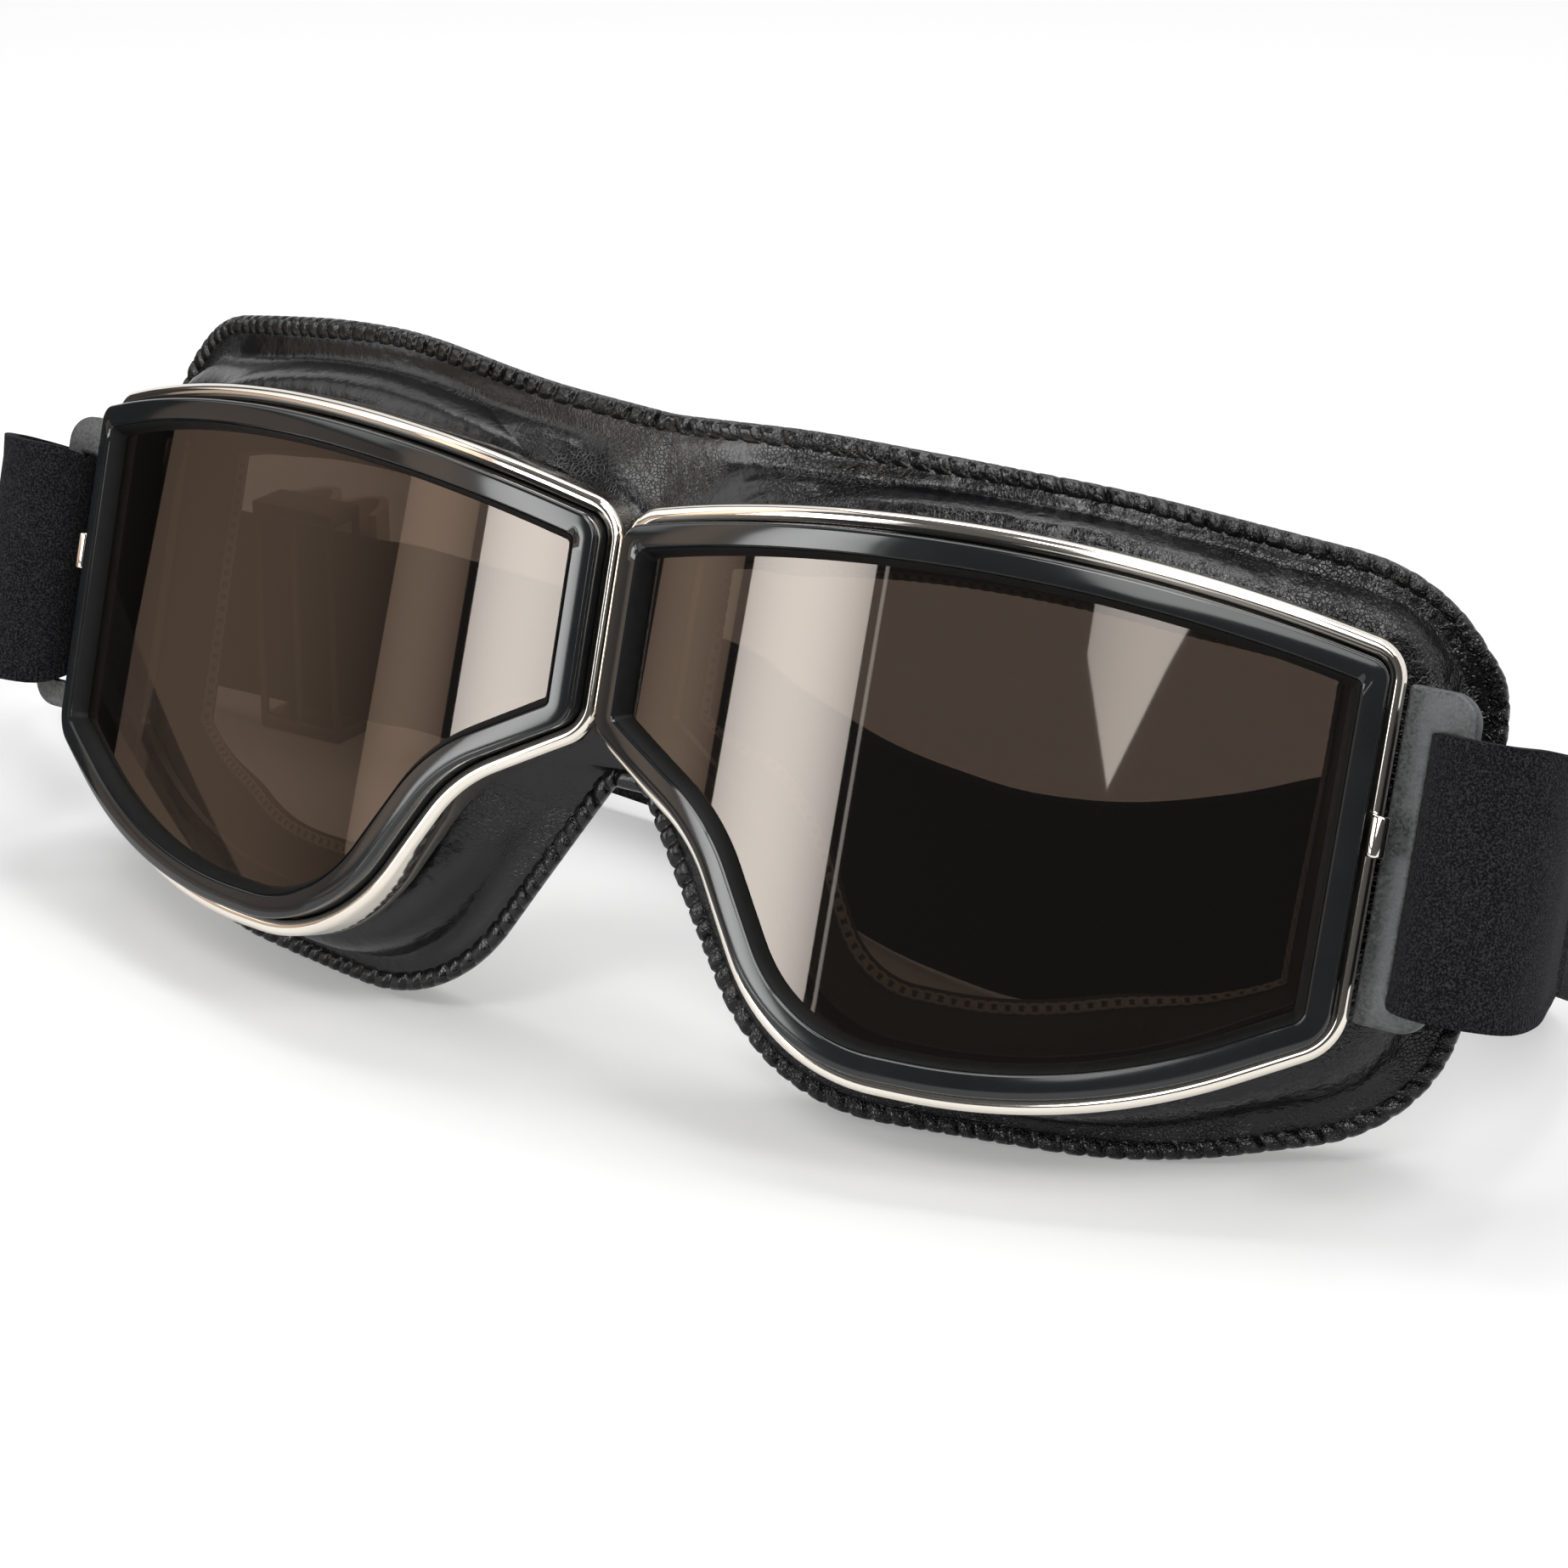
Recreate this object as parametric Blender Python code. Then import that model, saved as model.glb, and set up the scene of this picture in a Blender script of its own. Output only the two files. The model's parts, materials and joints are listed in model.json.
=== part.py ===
"""Split-lens motorcycle goggles: two framed lenses in a padded leather mask, on an elastic strap.

Metres, +Z up, front towards -Y. Left and right are as seen from the front. The goggles stand as
they do on a table: on the two cheeks of the mask, leaning back, with the strap lying behind them.
"""
import math

import bmesh
import bpy
from mathutils import Matrix, Vector

# How the goggles stand
LEAN = math.radians(16.9)
REST_CUT = 0.0005

# The face of an eye: it bows round the nose on one arc and flattens towards the temple
EYE_SPLAY = math.radians(11.4)
NOSE_ARC = 0.090
NOSE_ARC_WIDTH = 0.040
TEMPLE_ARC = 0.180

# Outline of a bezel, unrolled: widths from the nose line, heights from the middle of the eye
NOSE_GAP = 0.0003
BEZEL_WIDTH = 0.0819
NOSE_TOP = 0.0230
NOSE_TOP_RADIUS = 0.0045
CROWN_AT = 0.504 * BEZEL_WIDTH
CROWN_TOP = 0.0319
CROWN_RADIUS = 0.170
TEMPLE_TOP = 0.0232
TEMPLE_TOP_RADIUS = 0.004
TEMPLE_BOTTOM = -0.0154
TEMPLE_BOTTOM_RADIUS = 0.006
BELLY_AT = 0.7045 * BEZEL_WIDTH
BELLY_BOTTOM = -0.0282
BELLY_RADIUS = 0.068
CHEEK_AT = 0.3223 * BEZEL_WIDTH
CHEEK_RADIUS = 0.0205
FLANK_AT = 0.1734 * BEZEL_WIDTH
FLANK_BOTTOM = -0.0080
FLANK_RADIUS = 0.016
NOSE_BOTTOM = 0.0
NOSE_BOTTOM_RADIUS = 0.005
TIGHTEST_RADIUS = 0.0006

# Sections round the eye: widths inwards from the outline, depths back from the eye's face
FIT = 0.0003
BEZEL_LIP = 0.0015
BEZEL_BEAD = 0.0004
BEZEL_LIP_DEPTH = 0.0008
BEZEL_WALL = 0.0006
BEZEL_DEPTH = 0.0040
GASKET_FACE = 0.0028
GASKET_SLOPE = 0.0006
GASKET_RISE = 0.0027
GASKET_EDGE = 0.0005
LENS_GROOVE = 0.0014
LENS_SEAT = 0.0010
LENS_THICKNESS = 0.0016
FLANGE_WIDTH = 0.0021
LEATHER = 0.0012
RING_THICKNESS = 0.0012

# Edge of the mask's leather, measured from the corners of the bezel
LEATHER_NOSE_GAP = 0.0009
MASK_NOSE_RISE = 0.0072
MASK_CROWN_RISE = 0.0007
MASK_CROWN_RADIUS = 0.150
MASK_TEMPLE_REACH = 0.0029
MASK_TEMPLE_RISE = 0.0056
MASK_TEMPLE_RADIUS = 0.014
MASK_CHEEK_DROP = 0.0060
MASK_JAW_RADIUS = 0.014
MASK_BELLY_DROP = 0.0015
MASK_BELLY_RADIUS = 0.060
MASK_CHEEK_SHIFT = 0.0053
MASK_CHEEK_LOW = 0.0030
MASK_CHEEK_RADIUS = 0.019
NOTCH_HALF_WIDTH = 0.0032
NOTCH_TOP = -0.0031
NOTCH_RADIUS = 0.0035
MASK_CORNER = 0.0005
RIM_SET_BACK = 0.0075
RIM_RADIUS = 0.1515
RIM_TILT = 0.06
MASK_PUFF = 0.06
PUFF_AT = 0.6
BINDING_WIDTH = 0.0027
BINDING_DEPTH = 0.0030
PAD_DEPTH = 0.0075
PAD_LEAN = 0.35
LINING = 0.0008

# Leather strip that joins the halves behind the nose, and the line the mask folds on
BRIDGE_WIDTH = 0.0036
BRIDGE_MARGIN = 0.0006
FOLD_BACK = 0.0088

# Gray brackets at the temples, with the slot for the strap, and the chrome clips beside them
BRACKET_THICKNESS = 0.0016
BRACKET_WIDTH = 0.0075
BRACKET_OVER_SLOT = 0.0042
BRACKET_UNDER_SLOT = 0.0030
BRACKET_RADIUS = 0.0040
BRACKET_SINK = 0.0010
SLOT_INSET = 0.0032
SLOT_HEIGHT_AT = 0.0030
SLOT_CLEARANCE = 0.0003
CLIP_RADIUS = 0.0010
CLIP_HEIGHT = 0.0040
CLIP_AT = 0.0055

# Elastic strap, and the slider that shortens it
STRAP_WIDTH = 0.0250
STRAP_THICKNESS = 0.0015
STRAP_STEP = 0.0032
SLIDER_WALL = 0.0018
SLIDER_LENGTH = 0.0120
SLIDER_AT = -0.086
SLIDER_ROW = 0.0625
STRAP_RUN = 0.0105

# The strap's loop round a bracket's outer bar, from its sewn tail to its arm, seen from above:
# steps from the slot, outwards and back
STRAP_LOOP = [
    (0.0078, 0.0190), (0.0070, 0.0135), (0.0045, 0.0085), (0.0012, 0.0040), (0.0, 0.0),
    (0.0010, -0.0034), (0.0046, -0.0052), (0.0086, -0.0040), (0.0110, -0.0002), (0.0116, 0.0060),
    (0.0108, 0.0130), (0.0098, 0.0200),
]
# The strap's way behind the goggles, from the right arm to the left: x, y and the middle's height
# over its own half width
STRAP_WAY = [
    (0.0870, 0.0485, 0.0098), (0.0815, 0.0585, 0.0050), (0.0745, 0.0660, 0.0014), (0.0665, 0.0680, 0.0001),
    (0.0595, 0.0650, 0.0001), (0.0535, 0.0580, 0.0001), (0.0480, 0.0485, 0.0001), (0.0400, 0.0402, 0.0001),
    (0.0300, 0.0368, 0.0001), (0.0200, 0.0380, 0.0001), (0.0080, 0.0418, 0.0001), (-0.0085, 0.0505, 0.0002),
    (-0.0240, 0.0578, 0.0010),
]
STRAP_RETURN = [
    (-0.1140, 0.0595, 0.0045), (-0.1150, 0.0525, 0.0085), (-0.1085, 0.0450, 0.0125),
]
# How much of an edge its two fillets may take up
FULL_FILLET = 0.97
# Steps along each corner of an outline, in its order round the eye
CORNER_STEPS = (3, 6, 4, 4, 4, 5, 4, 3)


def eye_point(u, v, depth=0.0):
    """A point on the right eye: u along its bowed face from the nose, v up, depth back from it."""
    nose = min(u, NOSE_ARC_WIDTH)
    turn = nose / NOSE_ARC - EYE_SPLAY
    x = NOSE_ARC * (math.sin(turn) + math.sin(EYE_SPLAY))
    y = NOSE_ARC * (math.cos(EYE_SPLAY) - math.cos(turn))
    if u > NOSE_ARC_WIDTH:
        end = turn + (u - NOSE_ARC_WIDTH) / TEMPLE_ARC
        x += TEMPLE_ARC * (math.sin(end) - math.sin(turn))
        y += TEMPLE_ARC * (math.cos(turn) - math.cos(end))
        turn = end
    return Vector((x - depth * math.sin(turn), y + depth * math.cos(turn), v))


def eye_back(u):
    """The direction straight back from the eye's face at u."""
    return (eye_point(u, 0.0, 1.0) - eye_point(u, 0.0)).normalized()


def rounded(corners, steps, inset=0.0):
    """Points and outward normals round a clockwise outline whose corners are (a, b, radius), set in."""
    count = len(corners)
    spots = [Vector(corner[:2]) for corner in corners]
    edges = [spots[(i + 1) % count] - spots[i] for i in range(count)]
    turns = [edges[i - 1].angle_signed(edges[i]) for i in range(count)]
    tightest = [inset + TIGHTEST_RADIUS if turn > 0 else 0.0 for turn in turns]
    radii = [max(corner[2], least) for corner, least in zip(corners, tightest)]
    reaches = [radii[i] * math.tan(abs(turns[i]) / 2) for i in range(count)]
    points = []
    for i in range(count):
        before = edges[i - 1].length / (reaches[i - 1] + reaches[i])
        after = edges[i].length / (reaches[i] + reaches[(i + 1) % count])
        reach = reaches[i] * min(1.0, FULL_FILLET * before, FULL_FILLET * after)
        radius = reach / math.tan(abs(turns[i]) / 2)
        side = math.copysign(1.0, turns[i])
        heading = edges[i - 1].normalized()
        outward = Vector((-heading.y, heading.x))
        centre = spots[i] - heading * reach - outward * side * radius
        for k in range(steps[i] + 1):
            normal = Matrix.Rotation(-turns[i] * k / steps[i], 2) @ outward
            points.append((centre + normal * (side * radius - inset), normal))
    return points


EYE_CORNERS = [
    (NOSE_GAP / 2, NOSE_TOP, NOSE_TOP_RADIUS),
    (CROWN_AT, CROWN_TOP, CROWN_RADIUS),
    (BEZEL_WIDTH, TEMPLE_TOP, TEMPLE_TOP_RADIUS),
    (BEZEL_WIDTH, TEMPLE_BOTTOM, TEMPLE_BOTTOM_RADIUS),
    (BELLY_AT, BELLY_BOTTOM, BELLY_RADIUS),
    (CHEEK_AT, BELLY_BOTTOM, CHEEK_RADIUS),
    (FLANK_AT, FLANK_BOTTOM, FLANK_RADIUS),
    (NOSE_GAP / 2, NOSE_BOTTOM, NOSE_BOTTOM_RADIUS),
]
TEMPLE = eye_point(BEZEL_WIDTH, 0.0)
TEMPLE_BACK = eye_back(BEZEL_WIDTH)
MASK_OUTLINE = rounded([
    (LEATHER_NOSE_GAP, NOSE_TOP + MASK_NOSE_RISE, MASK_CORNER),
    (CROWN_AT, CROWN_TOP + MASK_CROWN_RISE, MASK_CROWN_RADIUS),
    (TEMPLE.x + MASK_TEMPLE_REACH, TEMPLE_TOP + MASK_TEMPLE_RISE, MASK_TEMPLE_RADIUS),
    (TEMPLE.x + MASK_TEMPLE_REACH, TEMPLE_BOTTOM - MASK_CHEEK_DROP, MASK_JAW_RADIUS),
    (BELLY_AT, BELLY_BOTTOM - MASK_BELLY_DROP, MASK_BELLY_RADIUS),
    (CHEEK_AT - MASK_CHEEK_SHIFT, BELLY_BOTTOM - MASK_CHEEK_LOW, MASK_CHEEK_RADIUS),
    (NOTCH_HALF_WIDTH, NOTCH_TOP, NOTCH_RADIUS),
    (LEATHER_NOSE_GAP, NOTCH_TOP, MASK_CORNER),
], CORNER_STEPS)
# The stretch of the outline that is the mask's free rim, without its nose line
RIM = range(CORNER_STEPS[0], len(MASK_OUTLINE) - CORNER_STEPS[7])

GASKET_OUTER = BEZEL_LIP + FIT
GASKET_INNER = GASKET_OUTER + GASKET_SLOPE + GASKET_FACE
GASKET_BACK = BEZEL_DEPTH
LENS_INSET = GASKET_INNER - LENS_GROOVE + FIT
FLANGE_FRONT = GASKET_BACK + FIT
FLANGE_INNER = GASKET_INNER - FIT
FLANGE_OUTER = FLANGE_INNER - FLANGE_WIDTH
RING_FRONT = FLANGE_FRONT + LEATHER + FIT
SLOT_WIDTH = STRAP_THICKNESS + 2 * SLOT_CLEARANCE
SLOT_HEIGHT = STRAP_WIDTH + 2 * SLOT_CLEARANCE
BRACKET_EDGE = TEMPLE.x + (FIT + BRACKET_SINK * TEMPLE_BACK.x) / TEMPLE_BACK.y
BRACKET_FRONT = TEMPLE.y + BRACKET_SINK
BRACKET_TOP = SLOT_HEIGHT_AT + SLOT_HEIGHT / 2 + BRACKET_OVER_SLOT
BRACKET_BOTTOM = SLOT_HEIGHT_AT - SLOT_HEIGHT / 2 - BRACKET_UNDER_SLOT
SLOT_AT = Vector((BRACKET_EDGE + SLOT_INSET + SLOT_WIDTH / 2, BRACKET_FRONT + BRACKET_THICKNESS / 2))
FOLD_POINT = Vector((0.0, FOLD_BACK, 0.0))
LEANING = Matrix.Rotation(-LEAN, 3, "X")


def eye_outline(inset):
    """The outline of an eye, unrolled and set in from the bezel's edge."""
    return [point for point, normal in rounded(EYE_CORNERS, CORNER_STEPS, inset)]


def rim_point(x, z):
    """A point on the bowed surface that the mask's edge lies on."""
    return Vector((x, RIM_SET_BACK + x * x / (2 * RIM_RADIUS) - RIM_TILT * z, z))


class Section:
    """The mask's section at one step round the eye, from the clamped flange out to the leather's edge."""

    def __init__(self, index):
        inner, outer = FLANGE[0][index], FLANGE[1][index]
        self.flange = eye_point(inner.x, inner.y, FLANGE_FRONT)
        self.start = eye_point(outer.x, outer.y, FLANGE_FRONT)
        self.edge = rim_point(*MASK_OUTLINE[index][0])
        middle = eye_point(BEZEL_WIDTH / 2, 0.0)
        aside = middle - self.start
        aside.y = 0.0
        self.back = (eye_back(outer.x) + aside.normalized() * PAD_LEAN).normalized()
        outward = MASK_OUTLINE[index][1]
        slope = self.edge.x / RIM_RADIUS * outward.x - RIM_TILT * outward.y
        self.out = Vector((outward.x, slope, outward.y)).normalized()

    def at(self, share, behind):
        """The point a share of the way out, set back from the leather's front by behind."""
        return self.start.lerp(self.edge, share) + self.back * behind

    def puffed(self, share, behind):
        """The same point on the leather, which swells forwards between its flange and its edge."""
        puff = MASK_PUFF if share == PUFF_AT else 0.0
        return self.at(share, behind - puff * (self.edge - self.start).length)

    def past(self, out, behind):
        """The point past the leather's edge."""
        return self.edge + self.out * out + self.back * behind


FLANGE = eye_outline(FLANGE_INNER), eye_outline(FLANGE_OUTER)
SECTIONS = [Section(index) for index in range(len(MASK_OUTLINE))]
EYE_HEIGHT = REST_CUT * -1 - min(
    (LEANING @ section.past(FIT + BINDING_WIDTH, behind)).z
    for section in SECTIONS for behind in (0.0, BINDING_DEPTH - LEATHER)
)


def standing(point):
    """Where a point of the upright goggles comes once they lean back on the table."""
    return LEANING @ point + Vector((0.0, 0.0, EYE_HEIGHT))


def material(name, colour, roughness, metallic=0.0, alpha=1.0):
    """A plain finish."""
    made = bpy.data.materials.get(name) or bpy.data.materials.new(name)
    made.use_nodes = True
    shader = made.node_tree.nodes["Principled BSDF"]
    shader.inputs["Base Color"].default_value = (*colour, 1.0)
    shader.inputs["Roughness"].default_value = roughness
    shader.inputs["Metallic"].default_value = metallic
    shader.inputs["Alpha"].default_value = alpha
    made.diffuse_color = (*colour, alpha)
    return made


def finished(name, mesh, finish, parent, origin, smooth=35.0):
    """An object of this mesh, its origin moved to the given point under its parent."""
    cleaner = bmesh.new()
    cleaner.from_mesh(mesh)
    bmesh.ops.recalc_face_normals(cleaner, faces=cleaner.faces)
    bmesh.ops.translate(cleaner, verts=cleaner.verts, vec=-origin)
    cleaner.to_mesh(mesh)
    cleaner.free()
    mesh.shade_smooth()
    mesh.set_sharp_from_angle(angle=math.radians(smooth))
    mesh.materials.append(finish)
    made = bpy.data.objects.new(name, mesh)
    made.parent = parent
    bpy.context.scene.collection.objects.link(made)
    return made


def swept(name, loops, closed=True):
    """A mesh through loops that stand side by side round a section, capped where it isn't closed."""
    length = len(loops[0])
    verts = [point for loop in loops for point in loop]
    faces = []
    for i in range(len(loops)):
        after = (i + 1) % len(loops)
        for j in range(length if closed else length - 1):
            k = (j + 1) % length
            faces.append((i * length + j, i * length + k, after * length + k, after * length + j))
    if not closed:
        faces.append([i * length for i in range(len(loops))])
        faces.append([i * length + length - 1 for i in range(len(loops))])
    mesh = bpy.data.meshes.new(name)
    mesh.from_pydata(verts, [], faces)
    return mesh


def eye_ring(name, section):
    """A ring round the eye with a section of (inset, depth) corners."""
    loops = []
    for inset, depth in section:
        loops.append([eye_point(point.x, point.y, depth) for point in eye_outline(inset)])
    return swept(name, loops)


def bezel_mesh(name):
    """Chrome rim: a half-round bead in front and a thin wall that goes back round the gasket."""
    return eye_ring(name, [
        (0.0, BEZEL_BEAD), (BEZEL_LIP * 0.25, -BEZEL_BEAD), (BEZEL_LIP * 0.75, -BEZEL_BEAD),
        (BEZEL_LIP, BEZEL_BEAD), (BEZEL_LIP, BEZEL_LIP_DEPTH), (BEZEL_WALL, BEZEL_LIP_DEPTH),
        (BEZEL_WALL, BEZEL_DEPTH), (0.0, BEZEL_DEPTH),
    ])


def gasket_mesh(name):
    """Black ring that stands proud of the bezel and holds the lens in a groove."""
    foot = BEZEL_LIP_DEPTH + FIT
    groove = GASKET_INNER - LENS_GROOVE
    return eye_ring(name, [
        (GASKET_OUTER, foot), (GASKET_OUTER + GASKET_SLOPE, GASKET_EDGE - GASKET_RISE),
        (GASKET_OUTER + GASKET_SLOPE + GASKET_EDGE, -GASKET_RISE),
        (GASKET_INNER - GASKET_EDGE, -GASKET_RISE), (GASKET_INNER, GASKET_EDGE - GASKET_RISE),
        (GASKET_INNER, LENS_SEAT - FIT), (groove, LENS_SEAT - FIT),
        (groove, LENS_SEAT + LENS_THICKNESS + FIT), (GASKET_INNER, LENS_SEAT + LENS_THICKNESS + FIT),
        (GASKET_INNER, GASKET_BACK), (BEZEL_WALL + FIT, GASKET_BACK), (BEZEL_WALL + FIT, foot),
    ])


def retaining_ring_mesh(name):
    """Flat ring that clamps the leather's flange against the back of the gasket."""
    back = RING_FRONT + RING_THICKNESS
    return eye_ring(name, [
        (FLANGE_OUTER + FIT, RING_FRONT), (FLANGE_OUTER + FIT, back),
        (FLANGE_INNER, back), (FLANGE_INNER, RING_FRONT),
    ])


def lens_mesh(name):
    """Smoked lens, bent to the eye's arcs: columns from its lower edge to its upper."""
    edge = eye_outline(LENS_INSET)
    columns = []
    for u in sorted({round(point.x, 7) for point in edge}):
        heights = []
        for a, b in zip(edge, edge[1:] + edge[:1]):
            if min(a.x, b.x) - 1e-6 <= u <= max(a.x, b.x) + 1e-6:
                share = (u - a.x) / (b.x - a.x) if abs(b.x - a.x) > 1e-6 else 0.0
                heights.append(a.y + (b.y - a.y) * min(max(share, 0.0), 1.0))
                if abs(b.x - a.x) <= 1e-6:
                    heights.append(b.y)
        if not columns or u - columns[-1][0] > FIT:
            columns.append((u, min(heights), max(heights)))
    back = LENS_SEAT + LENS_THICKNESS
    return swept(name, [
        [eye_point(u, low, LENS_SEAT) for u, low, high in columns],
        [eye_point(u, high, LENS_SEAT) for u, low, high in columns],
        [eye_point(u, high, back) for u, low, high in columns],
        [eye_point(u, low, back) for u, low, high in columns],
    ], closed=False)


def leather_mesh(name):
    """Front leather of one half: a clamped flange, then a puffed slope out to the rim."""
    loops = [[section.flange for section in SECTIONS]]
    loops += [[section.puffed(share, 0.0) for section in SECTIONS] for share in (0.0, PUFF_AT, 1.0)]
    loops += [[section.puffed(share, LEATHER) for section in SECTIONS] for share in (1.0, PUFF_AT, 0.0)]
    loops.append([section.flange + section.back * LEATHER for section in SECTIONS])
    return swept(name, loops)


def pad_loops(shape, rim):
    return [[SECTIONS[i].at(share, behind) for i in rim] for share, behind in shape]


PAD_BASE = LEATHER + FIT
PAD_SHAPE = [(0.90, 0.30), (0.70, 0.80), (0.45, 1.0), (0.22, 0.80), (0.12, 0.36)]


def pad_mesh(name):
    """Foam behind the leather, crowned towards the face and drawn in at its edges."""
    shape = [(0.14, PAD_BASE), (0.90, PAD_BASE)]
    shape += [(share, PAD_BASE + PAD_DEPTH * height) for share, height in PAD_SHAPE]
    return swept(name, pad_loops(shape, RIM), closed=False)


def lining_mesh(name):
    """Thin lining that covers the foam on the face's side."""
    under = [(share, PAD_BASE + PAD_DEPTH * height + FIT) for share, height in PAD_SHAPE]
    over = [(share, behind + LINING) for share, behind in reversed(under)]
    return swept(name, pad_loops(under + over, RIM), closed=False)


def binding_mesh(name):
    """Bound edge round the free rim of the mask, cut flat where the cheek stands on the table."""
    depth = BINDING_DEPTH - LEATHER
    width = FIT + BINDING_WIDTH
    shape = [
        (FIT, 0.0), (FIT + BINDING_WIDTH * 0.35, -LEATHER / 2), (width, 0.0), (width, depth),
        (FIT + BINDING_WIDTH * 0.35, depth + LEATHER / 2), (FIT, depth),
    ]
    mesh = swept(name, [[SECTIONS[i].past(*corner) for i in RIM] for corner in shape], closed=False)
    cutter = bmesh.new()
    cutter.from_mesh(mesh)
    bmesh.ops.recalc_face_normals(cutter, faces=cutter.faces)
    down = LEANING.inverted() @ Vector((0.0, 0.0, -1.0))
    floor = LEANING.inverted() @ Vector((0.0, 0.0, -EYE_HEIGHT))
    cut = bmesh.ops.bisect_plane(
        cutter, geom=cutter.verts[:] + cutter.edges[:] + cutter.faces[:], plane_co=floor, plane_no=down,
        dist=1e-7, clear_outer=True,
    )
    rim = [item for item in cut["geom_cut"] if isinstance(item, bmesh.types.BMEdge)]
    bmesh.ops.holes_fill(cutter, edges=rim)
    cutter.to_mesh(mesh)
    cutter.free()
    return mesh


def bracket_mesh(name):
    """Flat plate beside the bezel: its slot takes the strap, which loops round the outer bar."""
    outer = rounded([
        (BRACKET_EDGE, BRACKET_TOP, FIT), (BRACKET_EDGE + BRACKET_WIDTH, BRACKET_TOP, BRACKET_RADIUS),
        (BRACKET_EDGE + BRACKET_WIDTH, BRACKET_BOTTOM, BRACKET_RADIUS), (BRACKET_EDGE, BRACKET_BOTTOM, FIT),
    ], (1, 4, 4, 1))
    left = SLOT_AT.x - SLOT_WIDTH / 2
    low = SLOT_HEIGHT_AT - SLOT_HEIGHT / 2
    slot = [
        Vector((left, low)), Vector((left, low + SLOT_HEIGHT)),
        Vector((left + SLOT_WIDTH, low + SLOT_HEIGHT)), Vector((left + SLOT_WIDTH, low)),
    ]
    plate = bmesh.new()
    for loop in ([point for point, normal in outer], slot):
        verts = [plate.verts.new((p.x, BRACKET_FRONT, p.y)) for p in loop]
        for a, b in zip(verts, verts[1:] + verts[:1]):
            plate.edges.new((a, b))
    bmesh.ops.triangle_fill(plate, use_beauty=True, use_dissolve=False, edges=plate.edges[:])
    grown = bmesh.ops.extrude_face_region(plate, geom=plate.faces[:])
    moved = [item for item in grown["geom"] if isinstance(item, bmesh.types.BMVert)]
    bmesh.ops.translate(plate, verts=moved, vec=(0.0, BRACKET_THICKNESS, 0.0))
    mesh = bpy.data.meshes.new(name)
    plate.to_mesh(mesh)
    plate.free()
    return mesh


def clip_mesh(name):
    """Small chrome barrel that closes the bezel's two ends at the temple."""
    barrel = bmesh.new()
    bmesh.ops.create_cone(
        barrel, cap_ends=True, segments=14, radius1=CLIP_RADIUS, radius2=CLIP_RADIUS, depth=CLIP_HEIGHT,
    )
    place = eye_point(BEZEL_WIDTH - BEZEL_LIP / 4, CLIP_AT, -BEZEL_BEAD - FIT - CLIP_RADIUS)
    bmesh.ops.translate(barrel, verts=barrel.verts, vec=place)
    mesh = bpy.data.meshes.new(name)
    barrel.to_mesh(mesh)
    barrel.free()
    return mesh


def bridge_mesh(name):
    """Leather strip behind the nose that joins the two halves and is the mask's living hinge."""
    front = LEATHER + FIT
    low = rim_point(0.0, NOTCH_TOP + BRIDGE_MARGIN)
    high = rim_point(0.0, NOSE_TOP + MASK_NOSE_RISE - BRIDGE_MARGIN)
    half = BRIDGE_WIDTH / 2
    loops = []
    for x, y in ((-half, front), (half, front), (half, front + LEATHER), (-half, front + LEATHER)):
        loops.append([low.lerp(high, k / 4) + Vector((x, y, 0.0)) for k in range(5)])
    return swept(name, loops, closed=False)


def smooth_line(knots, step):
    """Points about a step apart on the smooth curve through the knots, and the curve's length."""
    points = []
    length = 0.0
    for i in range(len(knots) - 1):
        a, b = knots[i], knots[i + 1]
        before = knots[i - 1] if i else a * 2 - b
        after = knots[i + 2] if i + 2 < len(knots) else b * 2 - a
        count = max(1, round((b - a).xyz.length / step))
        for k in range(count):
            t = k / count
            points.append(0.5 * (
                2 * a + (b - before) * t + (2 * before - 5 * a + 4 * b - after) * t * t
                + (3 * a - before - 3 * b + after) * t ** 3
            ))
    points.append(knots[-1])
    for a, b in zip(points, points[1:]):
        length += (b - a).xyz.length
    return points, length


def strap_knots():
    """The strap's knots: place of its middle, and how far it leans with the brackets there."""
    right = []
    for out, back in STRAP_LOOP:
        right.append(standing(Vector((SLOT_AT.x + out, SLOT_AT.y + back, SLOT_HEIGHT_AT))))
    knots = [point.to_4d() for point in right]
    for x, y, lift in STRAP_WAY:
        knots.append(Vector((x, y, STRAP_WIDTH / 2 + lift, 0.0)))
    level = STRAP_WIDTH / 2 + FIT + SLIDER_WALL
    for k in (2.0, 1.5, 1.0, 0.5, 0.0, -0.5, -1.0, -1.5, -2.0):
        knots.append(Vector((SLIDER_AT + k * STRAP_RUN, SLIDER_ROW, level, 0.0)))
    for x, y, lift in STRAP_RETURN:
        knots.append(Vector((x, y, STRAP_WIDTH / 2 + lift, 0.0)))
    for point in reversed(right):
        knots.append(Vector((-point.x, point.y, point.z, 1.0)))
    return knots


def strap_mesh(name):
    """One elastic band: round the right bar, behind the goggles and round the left bar."""
    line, length = smooth_line(strap_knots(), STRAP_STEP)
    loops = [[], [], [], []]
    for i, point in enumerate(line):
        along = (line[min(i + 1, len(line) - 1)] - line[max(i - 1, 0)]).xyz.normalized()
        lean = LEAN * min(max(point.w, 0.0), 1.0)
        up = Vector((0.0, math.sin(lean), math.cos(lean)))
        up = (up - along * up.dot(along)).normalized()
        side = along.cross(up)
        for loop, (across, high) in zip(loops, ((-1, -1), (1, -1), (1, 1), (-1, 1))):
            loop.append(point.xyz + side * across * STRAP_THICKNESS / 2 + up * high * STRAP_WIDTH / 2)
    print(f"strap length {length * 1000:.1f} mm")
    return swept(name, loops, closed=False)


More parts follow.
